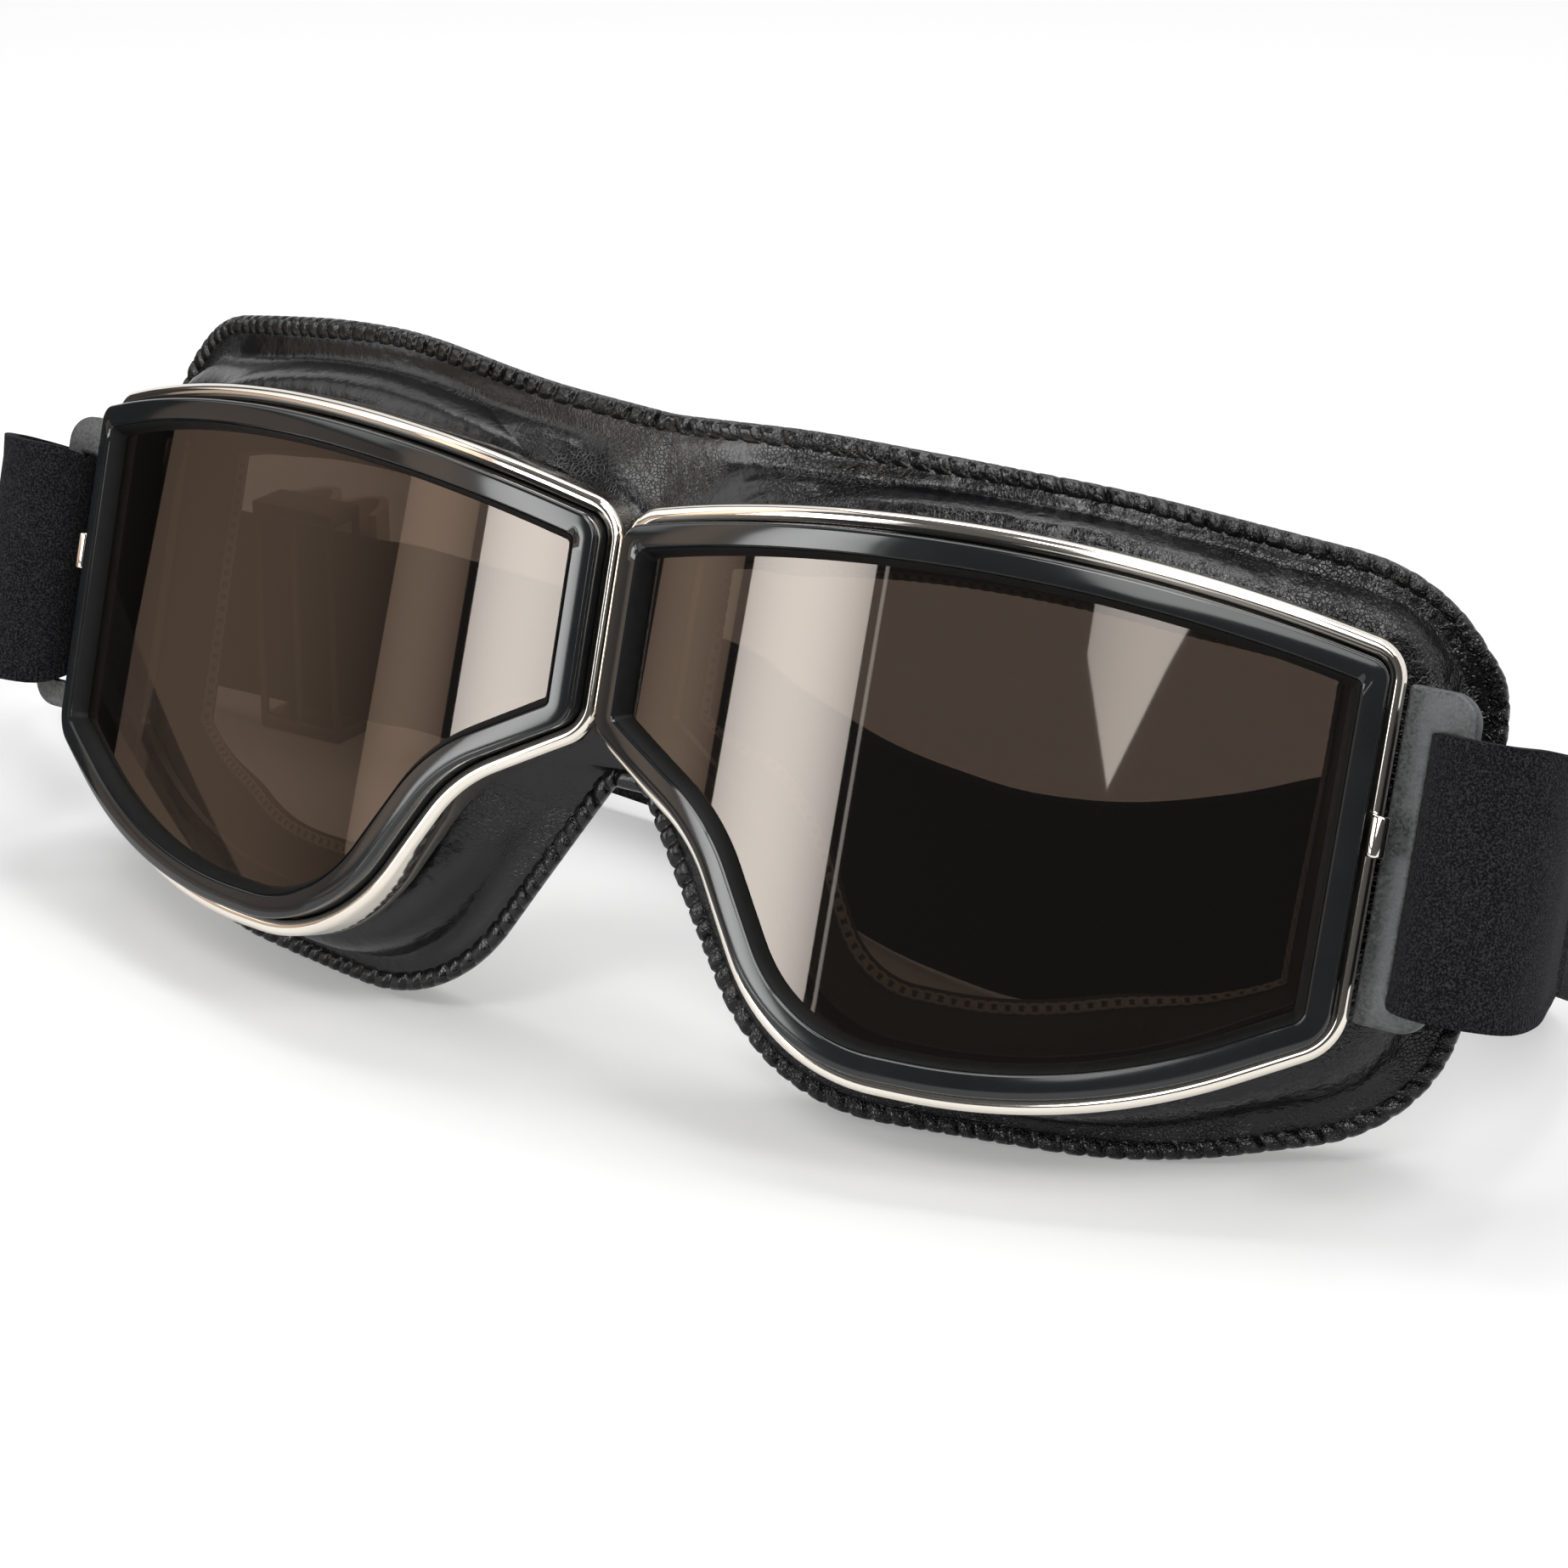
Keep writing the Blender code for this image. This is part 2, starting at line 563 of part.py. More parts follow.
def slider_mesh(name):
    """Metal loop that the strap is drawn through to shorten it."""
    inner = Vector((STRAP_THICKNESS / 2 + FIT, STRAP_WIDTH / 2 + FIT))
    middle = Vector((SLIDER_AT, SLIDER_ROW, STRAP_WIDTH / 2 + FIT + SLIDER_WALL))
    loops = []
    for wall, along in ((SLIDER_WALL, -1), (SLIDER_WALL, 1), (0.0, 1), (0.0, -1)):
        corner = inner + Vector((wall, wall))
        loops.append([
            middle + Vector((along * SLIDER_LENGTH / 2, a * corner.x, b * corner.y))
            for a, b in ((-1, -1), (1, -1), (1, 1), (-1, 1))
        ])
    return swept(name, loops), middle


CHROME = ("chrome", (0.86, 0.82, 0.74), 0.12, 1.0)
BLACK_GLOSS = ("black_gloss", (0.012, 0.013, 0.014), 0.12)
SMOKE = ("smoked_lens", (0.050, 0.034, 0.026), 0.04, 0.0, 0.55)
GRAY_PAINT = ("gray_paint", (0.115, 0.120, 0.122), 0.55)
STEEL = ("steel", (0.45, 0.44, 0.42), 0.35, 1.0)
BLACK_LEATHER = ("black_leather", (0.012, 0.012, 0.012), 0.42)
FOAM = ("foam", (0.030, 0.028, 0.027), 0.95)
LINING_CLOTH = ("lining_leather", (0.030, 0.024, 0.020), 0.70)
ELASTIC = ("elastic", (0.009, 0.010, 0.014), 0.95)

EYE_PIECES = [
    ("bezel", bezel_mesh, CHROME),
    ("bezel_clip", clip_mesh, CHROME),
    ("lens_gasket", gasket_mesh, BLACK_GLOSS),
    ("lens", lens_mesh, SMOKE),
    ("retaining_ring", retaining_ring_mesh, STEEL),
    ("strap_bracket", bracket_mesh, GRAY_PAINT),
    ("mask_leather", leather_mesh, BLACK_LEATHER),
    ("rim_binding", binding_mesh, BLACK_LEATHER),
    ("face_pad", pad_mesh, FOAM),
    ("mask_lining", lining_mesh, LINING_CLOTH),
]


def empty(name, parent, place):
    made = bpy.data.objects.new(name, None)
    made.parent = parent
    made.location = place
    bpy.context.scene.collection.objects.link(made)
    return made


def build():
    for old in list(bpy.data.objects):
        bpy.data.objects.remove(old, do_unlink=True)
    goggles = empty("goggles", None, (0.0, 0.0, 0.0))
    leaning = empty("leaning_frame", goggles, (0.0, 0.0, EYE_HEIGHT))
    leaning.rotation_euler = (-LEAN, 0.0, 0.0)
    mirror = Matrix.Scale(-1, 4, (1.0, 0.0, 0.0))
    made = []
    for side in ("left", "right"):
        half = empty(f"{side}_half", leaning, FOLD_POINT)
        for piece, shape, finish in EYE_PIECES:
            mesh = shape(f"{side}_{piece}")
            if side == "left":
                mesh.transform(mirror)
            made.append(finished(f"{side}_{piece}", mesh, material(*finish), half, FOLD_POINT))
    bridge = bridge_mesh("nose_bridge_leather")
    made.append(finished("nose_bridge_leather", bridge, material(*BLACK_LEATHER), leaning, Vector()))
    strap = strap_mesh("elastic_strap")
    made.append(finished("elastic_strap", strap, material(*ELASTIC), goggles, Vector()))
    slider, middle = slider_mesh("strap_slider")
    carried = finished("strap_slider", slider, material(*STEEL), goggles, middle)
    carried.location = middle
    made.append(carried)
    centre_on_origin(goggles, made)


def centre_on_origin(root, pieces):
    """Bring the middle of the finished part's footprint to the origin."""
    bpy.context.view_layer.update()
    spots = [piece.matrix_world @ vert.co for piece in pieces for vert in piece.data.vertices]
    for axis in (0, 1):
        reach = [spot[axis] for spot in spots]
        root.location[axis] = -(min(reach) + max(reach)) / 2
    bpy.context.view_layer.update()
    low = min(spot.z for spot in spots)
    fold = bpy.data.objects["right_half"].matrix_world.translation
    print(f"footprint moved by {root.location.x:.5f}, {root.location.y:.5f}; lowest point {low:.5f}")
    print(f"fold line passes {fold.x:.5f}, {fold.y:.5f}, {fold.z:.5f}")
    print(f"slider at {bpy.data.objects['strap_slider'].matrix_world.translation}")


build()
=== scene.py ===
# %% [markdown]
# # Split-lens riding goggles
# The goggles stand on a table, leaning back: two smoked lenses in black gaskets and chrome bezels, a
# black leather mask with a pinched rim, gray brackets at the temples and an elastic strap behind.
# The imported CAD model is the fixed frame. Every piece here is modelled where the frame says, and most
# then ride on one of its bodies.

# %% Load the frame
import json
import math

import bpy
from mathutils import Matrix, Vector, noise


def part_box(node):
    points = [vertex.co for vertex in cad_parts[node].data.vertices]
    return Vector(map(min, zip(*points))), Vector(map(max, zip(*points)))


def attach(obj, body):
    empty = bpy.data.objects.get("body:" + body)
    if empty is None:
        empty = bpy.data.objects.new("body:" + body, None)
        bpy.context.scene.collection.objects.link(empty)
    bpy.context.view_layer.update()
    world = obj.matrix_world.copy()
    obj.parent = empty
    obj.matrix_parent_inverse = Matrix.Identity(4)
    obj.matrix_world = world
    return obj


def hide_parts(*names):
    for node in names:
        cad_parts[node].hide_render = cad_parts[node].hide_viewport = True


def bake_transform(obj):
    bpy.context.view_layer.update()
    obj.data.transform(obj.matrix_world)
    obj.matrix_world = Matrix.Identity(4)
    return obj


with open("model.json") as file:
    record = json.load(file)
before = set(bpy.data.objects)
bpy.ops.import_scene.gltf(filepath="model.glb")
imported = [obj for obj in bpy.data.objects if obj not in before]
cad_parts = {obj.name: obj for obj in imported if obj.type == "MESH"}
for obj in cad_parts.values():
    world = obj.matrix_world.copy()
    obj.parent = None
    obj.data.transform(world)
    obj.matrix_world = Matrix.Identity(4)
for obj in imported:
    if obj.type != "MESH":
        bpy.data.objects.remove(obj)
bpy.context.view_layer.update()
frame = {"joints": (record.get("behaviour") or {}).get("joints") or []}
bpy.ops.object.select_all(action="DESELECT")

# %% [markdown]
# ## Where the goggles stand
# The mask is symmetric about its nose, so it is far easier to model it upright, with the nose on the
# Z axis, and to lean it back afterwards. The frame tells how: the fold line at the nose gives a point
# and a direction, and one matrix takes the upright goggles to their place on the table.

# %% From the upright goggles to the table
FOLD_BACK = 0.0088
fold_joint = next(joint for joint in frame["joints"] if joint["name"] == "nose_fold")
fold = Vector(fold_joint["pos_m"])
lean = math.atan2(fold_joint["axis"][1], fold_joint["axis"][2])
STANDING = (
    Matrix.Translation(fold) @ Matrix.Rotation(-lean, 4, "X") @ Matrix.Translation((0.0, -FOLD_BACK, 0.0))
)
TABLE_ORIGIN = Vector((fold.x, fold.y - FOLD_BACK * math.cos(lean), 0.0))
print(f"the goggles lean back {math.degrees(lean):.1f} degrees")

# %% [markdown]
# ## Camera
# The camera stands a little to the right of the goggles and above them, and looks through a long lens,
# which keeps the two eyes nearly the same size.

# %% Camera
IMAGE_SIDE = 1846
FOCAL_PIXELS = 5500
SENSOR = 36.0
CAMERA_AT = Vector((0.25248, -0.35795, 0.20033))
CAMERA_ELEVATION = math.radians(21.142)
CAMERA_AZIMUTH = math.radians(32.713)
bpy.ops.object.camera_add(
    location=TABLE_ORIGIN + CAMERA_AT, rotation=(math.pi / 2 - CAMERA_ELEVATION, 0.0, CAMERA_AZIMUTH)
)
camera = bpy.context.object
camera.data.sensor_width = SENSOR
camera.data.lens = FOCAL_PIXELS * SENSOR / IMAGE_SIDE
camera.data.clip_start = 0.01
bpy.context.scene.camera = camera
print(f"lens {camera.data.lens:.1f} mm")

# %% [markdown]
# ## Shader maths
# By hand, a finish is a tangle of nodes in the shader editor. Here it is written as a sum, which is easier
# to read and to change. A `Wire` stands for a socket, so `1 - grain * 0.3` adds the Math nodes that it
# needs, and `Finish.node` adds any other node: its type, its settings and its sockets.


# %% Wires and finishes
class Wire:
    """An output socket that can be used in sums."""

    def __init__(self, finish, socket):
        self.finish = finish
        self.socket = socket

    def math(self, operation, first, second=0.0):
        return self.finish.node("ShaderNodeMath", {"operation": operation}, {0: first, 1: second})

    def __add__(self, other):
        return self.math("ADD", self, other)

    def __sub__(self, other):
        return self.math("SUBTRACT", self, other)

    def __rsub__(self, other):
        return self.math("SUBTRACT", other, self)

    def __mul__(self, other):
        return self.math("MULTIPLY", self, other)

    def largest(self, other):
        return self.math("MAXIMUM", self, other)

    __radd__ = __add__
    __rmul__ = __mul__


class Finish:
    """A node tree with its shader, and the one way to add nodes to it."""

    def __init__(self, name, constants):
        self.material = bpy.data.materials.new(name)
        self.material.use_nodes = True
        self.tree = self.material.node_tree
        self.shader = self.tree.nodes["Principled BSDF"]
        self.feed(self.shader, constants)

    def node(self, kind, settings, sockets, output=0):
        made = self.tree.nodes.new(kind)
        for key, value in settings.items():
            if key == "stops":
                for element, (place, grey) in zip(made.color_ramp.elements, value):
                    element.position = place
                    element.color = (grey, grey, grey, 1.0)
            else:
                setattr(made, key, value)
        self.feed(made, sockets)
        return Wire(self, made.outputs[output])

    def feed(self, node, sockets):
        for key, value in sockets.items():
            if isinstance(value, Wire):
                self.tree.links.new(value.socket, node.inputs[key])
            else:
                node.inputs[key].default_value = value

    def place(self, kind="Object"):
        return self.node("ShaderNodeTexCoord", {}, {}, kind)

    def noise(self, scale, detail=3.0, place=None, roughness=0.5):
        sockets = {"Vector": place or self.place(), "Scale": scale, "Detail": detail, "Roughness": roughness}
        return self.node("ShaderNodeTexNoise", {}, sockets)

    def colour(self, share, low, high):
        """A colour between two others."""
        mixed = {0: share, 6: (*low, 1.0), 7: (*high, 1.0)}
        return self.node("ShaderNodeMix", {"data_type": "RGBA"}, mixed, 2)

    def ramp(self, share, *stops):
        return self.node("ShaderNodeValToRGB", {"stops": stops}, {"Fac": share})

    def bump(self, height, depth):
        sockets = {"Height": height, "Distance": depth, "Strength": 1.0}
        self.feed(self.shader, {"Normal": self.node("ShaderNodeBump", {}, sockets)})


# %% [markdown]
# ## Finishes
# Nothing on the goggles has one flat colour: leather is worn and creased, chrome is hazy, paint has grain.
# So noise drives each finish's colour, roughness and relief. It reads Object coordinates, which are metres
# here, and a scale of 1500 makes grain of two thirds of a millimetre. The strap's weave reads its UV map
# instead, because it follows the band round its bends.


# %% Leather
def leather_finish(name, low, high, grain_depth, roughness):
    """Leather: cells of grain in patches, creases and soft folds, more of each towards the right temple."""
    finish = Finish(name, {"Specular IOR Level": 0.38})
    place = finish.place()
    drift = finish.node("ShaderNodeTexNoise", {}, {"Vector": place, "Scale": 260.0, "Detail": 2.0}, "Color")
    shifted = finish.node(
        "ShaderNodeVectorMath", {"operation": "MULTIPLY_ADD"}, {0: drift, 1: (0.0012,) * 3, 2: place}
    )
    cells = finish.node(
        "ShaderNodeTexVoronoi", {"feature": "DISTANCE_TO_EDGE"}, {"Vector": shifted, "Scale": 2300.0}
    )
    grain = finish.ramp(cells, (0.0, 0.0), (0.12, 1.0))
    creases = finish.noise(700.0, 4.0, shifted, 0.6)
    folds = finish.noise(190.0, 3.0, shifted, 0.55)
    patches = finish.ramp(finish.noise(70.0, 2.0), (0.45, 0.1), (0.70, 1.0))
    worn = finish.noise(55.0, 4.0)
    # The stops of this ramp are places along X, in tenths of a metre
    side = finish.node("ShaderNodeSeparateXYZ", {}, {0: place}, 0)
    crumple = finish.ramp(side * 10, (0.2, 0.35), (0.75, 1.0))
    # The colour is a little darker along the grain's grooves between cells: painted shade in the grain
    finish.feed(finish.shader, {
        "Base Color": finish.colour(worn * 0.7 + grain * 0.2, low, high),
        "Roughness": roughness + worn * 0.12 - grain * 0.05 + (1 - crumple) * 0.12,
    })
    finish.bump((grain * patches * 0.9 + creases * 2.2 + folds * 8.0) * crumple, grain_depth)
    return finish.material


black_leather = leather_finish("black_leather", (0.002, 0.002, 0.003), (0.007, 0.007, 0.008), 0.00011, 0.13)
lining_leather = leather_finish("lining_leather", (0.075, 0.058, 0.047), (0.14, 0.11, 0.09), 0.00006, 0.50)
print("leather:", black_leather.name, lining_leather.name)


# %% Metals and hard finishes
def mottled(name, constants, grain, low, high, dullness, relief=0.0):
    """A finish whose colour, roughness and relief follow one noise. Grain is its scale and detail."""
    finish = Finish(name, constants)
    mottle = finish.noise(*grain)
    least, more = dullness
    finish.feed(finish.shader, {
        "Base Color": finish.colour(mottle, low, high), "Roughness": least + mottle * more,
    })
    if relief:
        finish.bump(mottle, relief)
    return finish.material


def paint_finish():
    """Gray powder coat: a fine sparkling grain."""
    finish = Finish("gray_paint", {"Metallic": 0.35})
    cells = finish.node("ShaderNodeTexVoronoi", {}, {"Vector": finish.place(), "Scale": 4200.0}, "Color")
    grain = finish.node("ShaderNodeSeparateColor", {}, {"Color": cells})
    cloud = finish.noise(900.0, 4.0)
    finish.feed(finish.shader, {
        "Base Color": finish.colour(grain * 0.6 + cloud * 0.4, (0.030, 0.032, 0.033), (0.140, 0.145, 0.148)),
        "Roughness": 0.42 + grain * 0.25,
    })
    finish.bump(grain * 0.5 + cloud, 0.00006)
    return finish.material


METAL = {"Metallic": 1.0}
# Bright plating, slightly warm, with the faint unevenness of thin bent metal
chrome = mottled("chrome", METAL, (90.0, 4.0), (0.76, 0.69, 0.60), (0.89, 0.85, 0.78), (0.05, 0.06))
# Moulded black plastic, polished, with dull traces of handling
black_gloss = mottled(
    "black_gloss", {}, (120.0, 5.0), (0.009, 0.010, 0.011), (0.018, 0.020, 0.021), (0.06, 0.08)
)
# The dull black slope between gasket and lens
black_rubber = mottled(
    "black_rubber", {"Specular IOR Level": 0.12}, (900.0, 3.0), (0.002, 0.002, 0.002), (0.006, 0.006, 0.006),
    (0.4, 0.2),
)
gray_paint = paint_finish()
# Plain steel for the clamp rings, and blackened steel for the slider
steel = mottled("steel", METAL, (600.0, 3.0), (0.36, 0.35, 0.34), (0.52, 0.51, 0.49), (0.26, 0.22))
dark_steel = mottled("dark_steel", METAL, (600.0, 3.0), (0.09, 0.085, 0.08), (0.17, 0.16, 0.15), (0.26, 0.22))
print("hard finishes:", chrome.name, black_gloss.name, black_rubber.name, gray_paint.name, steel.name)


# %% Smoked lens
LENS_TINT = (0.228, 0.194, 0.168)


def lens_finish():
    """Brown smoke that light passes through twice. Only the coated front mirrors the studio."""
    finish = Finish("smoked_lens", {})
    finish.tree.nodes.remove(finish.shader)
    smoke = finish.node("ShaderNodeBsdfTransparent", {}, {"Color": (*LENS_TINT, 1.0)})
    shine = finish.node("ShaderNodeBsdfGlossy", {}, {"Color": (1.0, 0.90, 0.82, 1.0), "Roughness": 0.02})
    edge = finish.node("ShaderNodeFresnel", {}, {"IOR": 1.7})
    inside = finish.node("ShaderNodeNewGeometry", {}, {}, "Backfacing")
    face = finish.node("ShaderNodeMixShader", {}, {0: edge * (1 - inside), 1: smoke, 2: shine})
    finish.feed(finish.tree.nodes["Material Output"], {"Surface": face})
    return finish.material


smoked_lens = lens_finish()
print("lens lets through", LENS_TINT)


# %% Elastic, foam and thread
STRAP_WIDTH = 0.0250
STRAP_EDGE = 0.0016
RIB_PITCH = 0.00055


def elastic_finish():
    """Knitted elastic with a short nap: lint all over, and fine ribs across the two rolled edges."""
    finish = Finish("elastic", {"Specular IOR Level": 0.06, "Sheen Weight": 0.02, "Sheen Roughness": 0.5})
    place = finish.place("UV")
    across = finish.node("ShaderNodeSeparateXYZ", {}, {0: place}, 1)
    along = finish.node("ShaderNodeSeparateXYZ", {}, {0: place}, 0)
    phase = along * (2 * math.pi / RIB_PITCH)
    ribs = phase.math("SINE", phase)
    from_edge = across.math("PINGPONG", across, STRAP_WIDTH / 2) * (1 / STRAP_EDGE)
    rolled = finish.ramp(from_edge, (0.7, 1.0), (1.0, 0.0))
    lint = finish.noise(4600.0, 1.0, None, 0.6)
    flecks = finish.ramp(lint, (0.42, 0.0), (0.80, 1.0))
    nap = finish.noise(420.0, 3.0)
    finish.feed(finish.shader, {
        "Base Color": finish.colour(flecks * 0.85 + nap * 0.12, (0.001, 0.001, 0.002), (0.056, 0.056, 0.062)),
        "Roughness": 0.85 + lint * 0.12,
    })
    finish.bump(rolled * ribs * 0.5 + lint, 0.00020)
    return finish.material


def foam_finish():
    """Open-cell foam: small pits all over, with painted shade that darkens the colour in each pit."""
    finish = Finish("foam", {})
    pits = finish.node("ShaderNodeTexVoronoi", {}, {"Vector": finish.place(), "Scale": 1400.0})
    finish.feed(finish.shader, {
        "Base Color": finish.colour(pits, (0.016, 0.015, 0.015), (0.055, 0.052, 0.050)),
        "Roughness": 0.95 - pits * 0.1,
    })
    finish.bump(pits, 0.0003)
    return finish.material


THREAD_SHEEN = {"Sheen Weight": 0.3}
FIBRE = (3000.0, 2.0)
elastic = elastic_finish()
foam = foam_finish()
# Twisted sewing thread, and a pale cream colour for the elastic's free end
tan_thread = mottled(
    "tan_thread", THREAD_SHEEN, FIBRE, (0.84, 0.76, 0.66), (0.97, 0.92, 0.84), (0.6, 0.3), 0.00005
)
pale_free_end = mottled(
    "pale_free_end", THREAD_SHEEN, FIBRE, (0.60, 0.50, 0.42), (0.85, 0.74, 0.64), (0.6, 0.3), 0.00005
)
print("soft finishes:", elastic.name, foam.name, tan_thread.name, pale_free_end.name)

# %% [markdown]
# ## Modelling by hand, from code
# Most pieces of the goggles are bands that run round an eye or along the strap. Each starts as a grid
# of quads. Its points are then put in place one by one, the two ends are merged where the band closes,
# and the normals are made to point outwards. A copy for the other eye is mirrored at the nose.


# %% Helpers
def only(piece):
    """Select one piece alone and make it the active one."""
    bpy.ops.object.select_all(action="DESELECT")
    piece.select_set(True)
    bpy.context.view_layer.objects.active = piece


def edit(piece, *steps):
    """Run edit mode steps on the whole of one piece."""
    only(piece)
    bpy.ops.object.mode_set(mode="EDIT")
    bpy.ops.mesh.select_all(action="SELECT")
    for step in steps:
        step()
    bpy.ops.object.mode_set(mode="OBJECT")


def merge():
    bpy.ops.mesh.remove_doubles(threshold=1e-6)


def outwards():
    bpy.ops.mesh.normals_make_consistent(inside=False)


def cap_ends():
    """Fill the open ends of a band."""
    bpy.ops.mesh.select_all(action="DESELECT")
    bpy.ops.mesh.select_mode(type="EDGE")
    bpy.ops.mesh.select_non_manifold(extend=False)
    bpy.ops.mesh.edge_face_add()
    bpy.ops.mesh.select_mode(type="VERT")
    bpy.ops.mesh.select_all(action="SELECT")


def face(sheet, side):
    """Turn an open sheet's normals to the back (side 1) or to the front (side -1)."""
    edit(sheet, outwards)
    if side * sum(polygon.normal.y * polygon.area for polygon in sheet.data.polygons) < 0:
        edit(sheet, bpy.ops.mesh.flip_normals)


def smooth(piece, degrees=40.0):
    """Shade smooth, except across edges sharper than this."""
    only(piece)
    bpy.ops.object.shade_smooth_by_angle(angle=math.radians(degrees))


def modify(piece, kind, **settings):
    """Add a modifier and apply it at once."""
    only(piece)
    bpy.ops.object.modifier_add(type=kind)
    added = piece.modifiers[-1]
    for key, value in settings.items():
        setattr(added, key, value)
    bpy.ops.object.modifier_apply(modifier=added.name)


def band(name, columns, rows, place):
    """A grid of quads whose point (column, row) is put at place(column, row)."""
    bpy.ops.object.select_all(action="DESELECT")
    bpy.ops.mesh.primitive_grid_add(x_subdivisions=columns, y_subdivisions=rows, size=1.0)
    piece = bpy.context.object
    piece.name = piece.data.name = name
    for vert in piece.data.vertices:
        column = round((vert.co.x + 0.5) * columns)
        row = round((vert.co.y + 0.5) * rows)
        vert.co = place(column, row)
    return piece


def stand(piece):
    """Lean a finished upright piece back and set it on the table."""
    only(piece)
    piece.matrix_world = STANDING @ piece.matrix_world
    bpy.ops.object.transform_apply(location=True, rotation=True, scale=True)


def mirrored(piece, name):
    """The same piece on the other eye, with its own mesh."""
    only(piece)
    bpy.ops.object.duplicate()
    copy = bpy.context.object
    copy.name = copy.data.name = name
    copy.scale.x = -1.0
    bpy.ops.object.transform_apply(location=True, rotation=True, scale=True)
    edit(copy, bpy.ops.mesh.flip_normals)
    return copy


def on_both_eyes(right, node, finish):
    """Paint a piece of the right eye, copy it to the left eye and let both stand for their CAD nodes."""
    right.data.materials.clear()
    right.data.materials.append(finish)
    for piece, side in ((right, "right"), (mirrored(right, right.name.replace("right", "left")), "left")):
        stand(piece)
        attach(piece, f"{side}_half")
        if node:
            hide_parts(f"{side}_{node}")
        print(piece.name, len(piece.data.polygons), "faces")


# %% [markdown]
# ## The eye's outline
# A bezel is a flat outline of eight corners, wrapped round the face: it bows on one arc at the nose and
# flattens to another at the temple. It could be a curve with a bevel, but a curve keeps one section all
# round, and here each ring is set in from the last. So the outline is drawn unrolled, with a fillet at
# each corner, and `eye_point` wraps it. Set in, the same outline serves the gasket, lens and ring.

# %% Sizes of an eye
EYE_SPLAY = math.radians(11.4)
NOSE_ARC = 0.090
NOSE_ARC_WIDTH = 0.040
TEMPLE_ARC = 0.180
BEZEL_WIDTH = 0.0819
TIGHTEST_RADIUS = 0.0006
FULL_FILLET = 0.97
EYE_CORNERS = [
    (0.00015, 0.0230, 0.0045),
    (0.504 * BEZEL_WIDTH, 0.0319, 0.170),
    (BEZEL_WIDTH, 0.0232, 0.004),
    (BEZEL_WIDTH, -0.0154, 0.006),
    (0.7045 * BEZEL_WIDTH, -0.0282, 0.068),
    (0.3223 * BEZEL_WIDTH, -0.0282, 0.0205),
    (0.1734 * BEZEL_WIDTH, -0.0080, 0.016),
    (0.00015, 0.0, 0.005),
]
# Steps round each corner, and along the straight run after it
CORNER_COUNTS = [(9, 4), (62, 4), (9, 26), (10, 4), (34, 4), (22, 5), (14, 5), (9, 14)]


def eye_point(u, v, depth=0.0):
    """A point on the right eye: u along its bowed face from the nose, v up, depth back from it."""
    nose = min(u, NOSE_ARC_WIDTH)
    turn = nose / NOSE_ARC - EYE_SPLAY
    x = NOSE_ARC * (math.sin(turn) + math.sin(EYE_SPLAY))
    y = NOSE_ARC * (math.cos(EYE_SPLAY) - math.cos(turn))
    if u > NOSE_ARC_WIDTH:
        end = turn + (u - NOSE_ARC_WIDTH) / TEMPLE_ARC
        x += TEMPLE_ARC * (math.sin(end) - math.sin(turn))
        y += TEMPLE_ARC * (math.cos(turn) - math.cos(end))
        turn = end
    return Vector((x - depth * math.sin(turn), y + depth * math.cos(turn), v))


def eye_back(u):
    """The direction straight back from the eye's face at u."""
    return (eye_point(u, 0.0, 1.0) - eye_point(u, 0.0)).normalized()


# %% Fillets and outlines
def rounded(corners, counts, inset=0.0):
    """Points and outward normals round a clockwise outline whose corners are (a, b, radius), set in."""
    count = len(corners)
    spots = [Vector(corner[:2]) for corner in corners]
    edges = [spots[(i + 1) % count] - spots[i] for i in range(count)]
    turns = [edges[i - 1].angle_signed(edges[i]) for i in range(count)]
    tightest = [inset + TIGHTEST_RADIUS if turn > 0 else 0.0 for turn in turns]
    radii = [max(corner[2], least) for corner, least in zip(corners, tightest)]
    reaches = [radii[i] * math.tan(abs(turns[i]) / 2) for i in range(count)]
    arcs = []
    for i in range(count):
        before = edges[i - 1].length / (reaches[i - 1] + reaches[i])
        after = edges[i].length / (reaches[i] + reaches[(i + 1) % count])
        reach = reaches[i] * min(1.0, FULL_FILLET * before, FULL_FILLET * after)
        radius = reach / math.tan(abs(turns[i]) / 2)
        side = math.copysign(1.0, turns[i])
        heading = edges[i - 1].normalized()
        outward = Vector((-heading.y, heading.x))
        centre = spots[i] - heading * reach - outward * side * radius
        steps = counts[i][0]
        normals = [Matrix.Rotation(-turns[i] * k / steps, 2) @ outward for k in range(steps + 1)]
        arcs.append([(centre + normal * (side * radius - inset), normal) for normal in normals])
    outline = []
    for i, arc in enumerate(arcs):
        (a, normal), (b, _) = arc[-1], arcs[(i + 1) % count][0]
        outline += arc
        outline += [(a.lerp(b, k / counts[i][1]), normal) for k in range(1, counts[i][1])]
    return outline


def eye_outline(inset):
    return [point for point, normal in rounded(EYE_CORNERS, CORNER_COUNTS, inset)]


print(f"an eye's outline has {len(eye_outline(0.0))} points")


# %% Rings round an eye
def eye_ring(name, section):
    """A ring round the right eye with a closed section of (inset, depth) points."""
    loops = [eye_outline(inset) for inset, depth in section]
    columns, rows = len(loops[0]), len(section)

    def place(column, row):
        point = loops[row % rows][column % columns]
        return eye_point(point.x, point.y, section[row % rows][1])

    ring = band(name, columns, rows, place)
    edit(ring, merge, outwards)
    smooth(ring)
    return ring


# %% [markdown]
# ## Chrome bezels
# The bezel is a strip of plated metal that holds gasket, lens and leather together: a half-round bead in
# front, and a thin wall that goes back round the gasket. Its section is drawn once, as (inset, depth)
# points, and taken round the eye. That keeps the bead evenly wide in the tight corners, where scaling a
# ring would not.

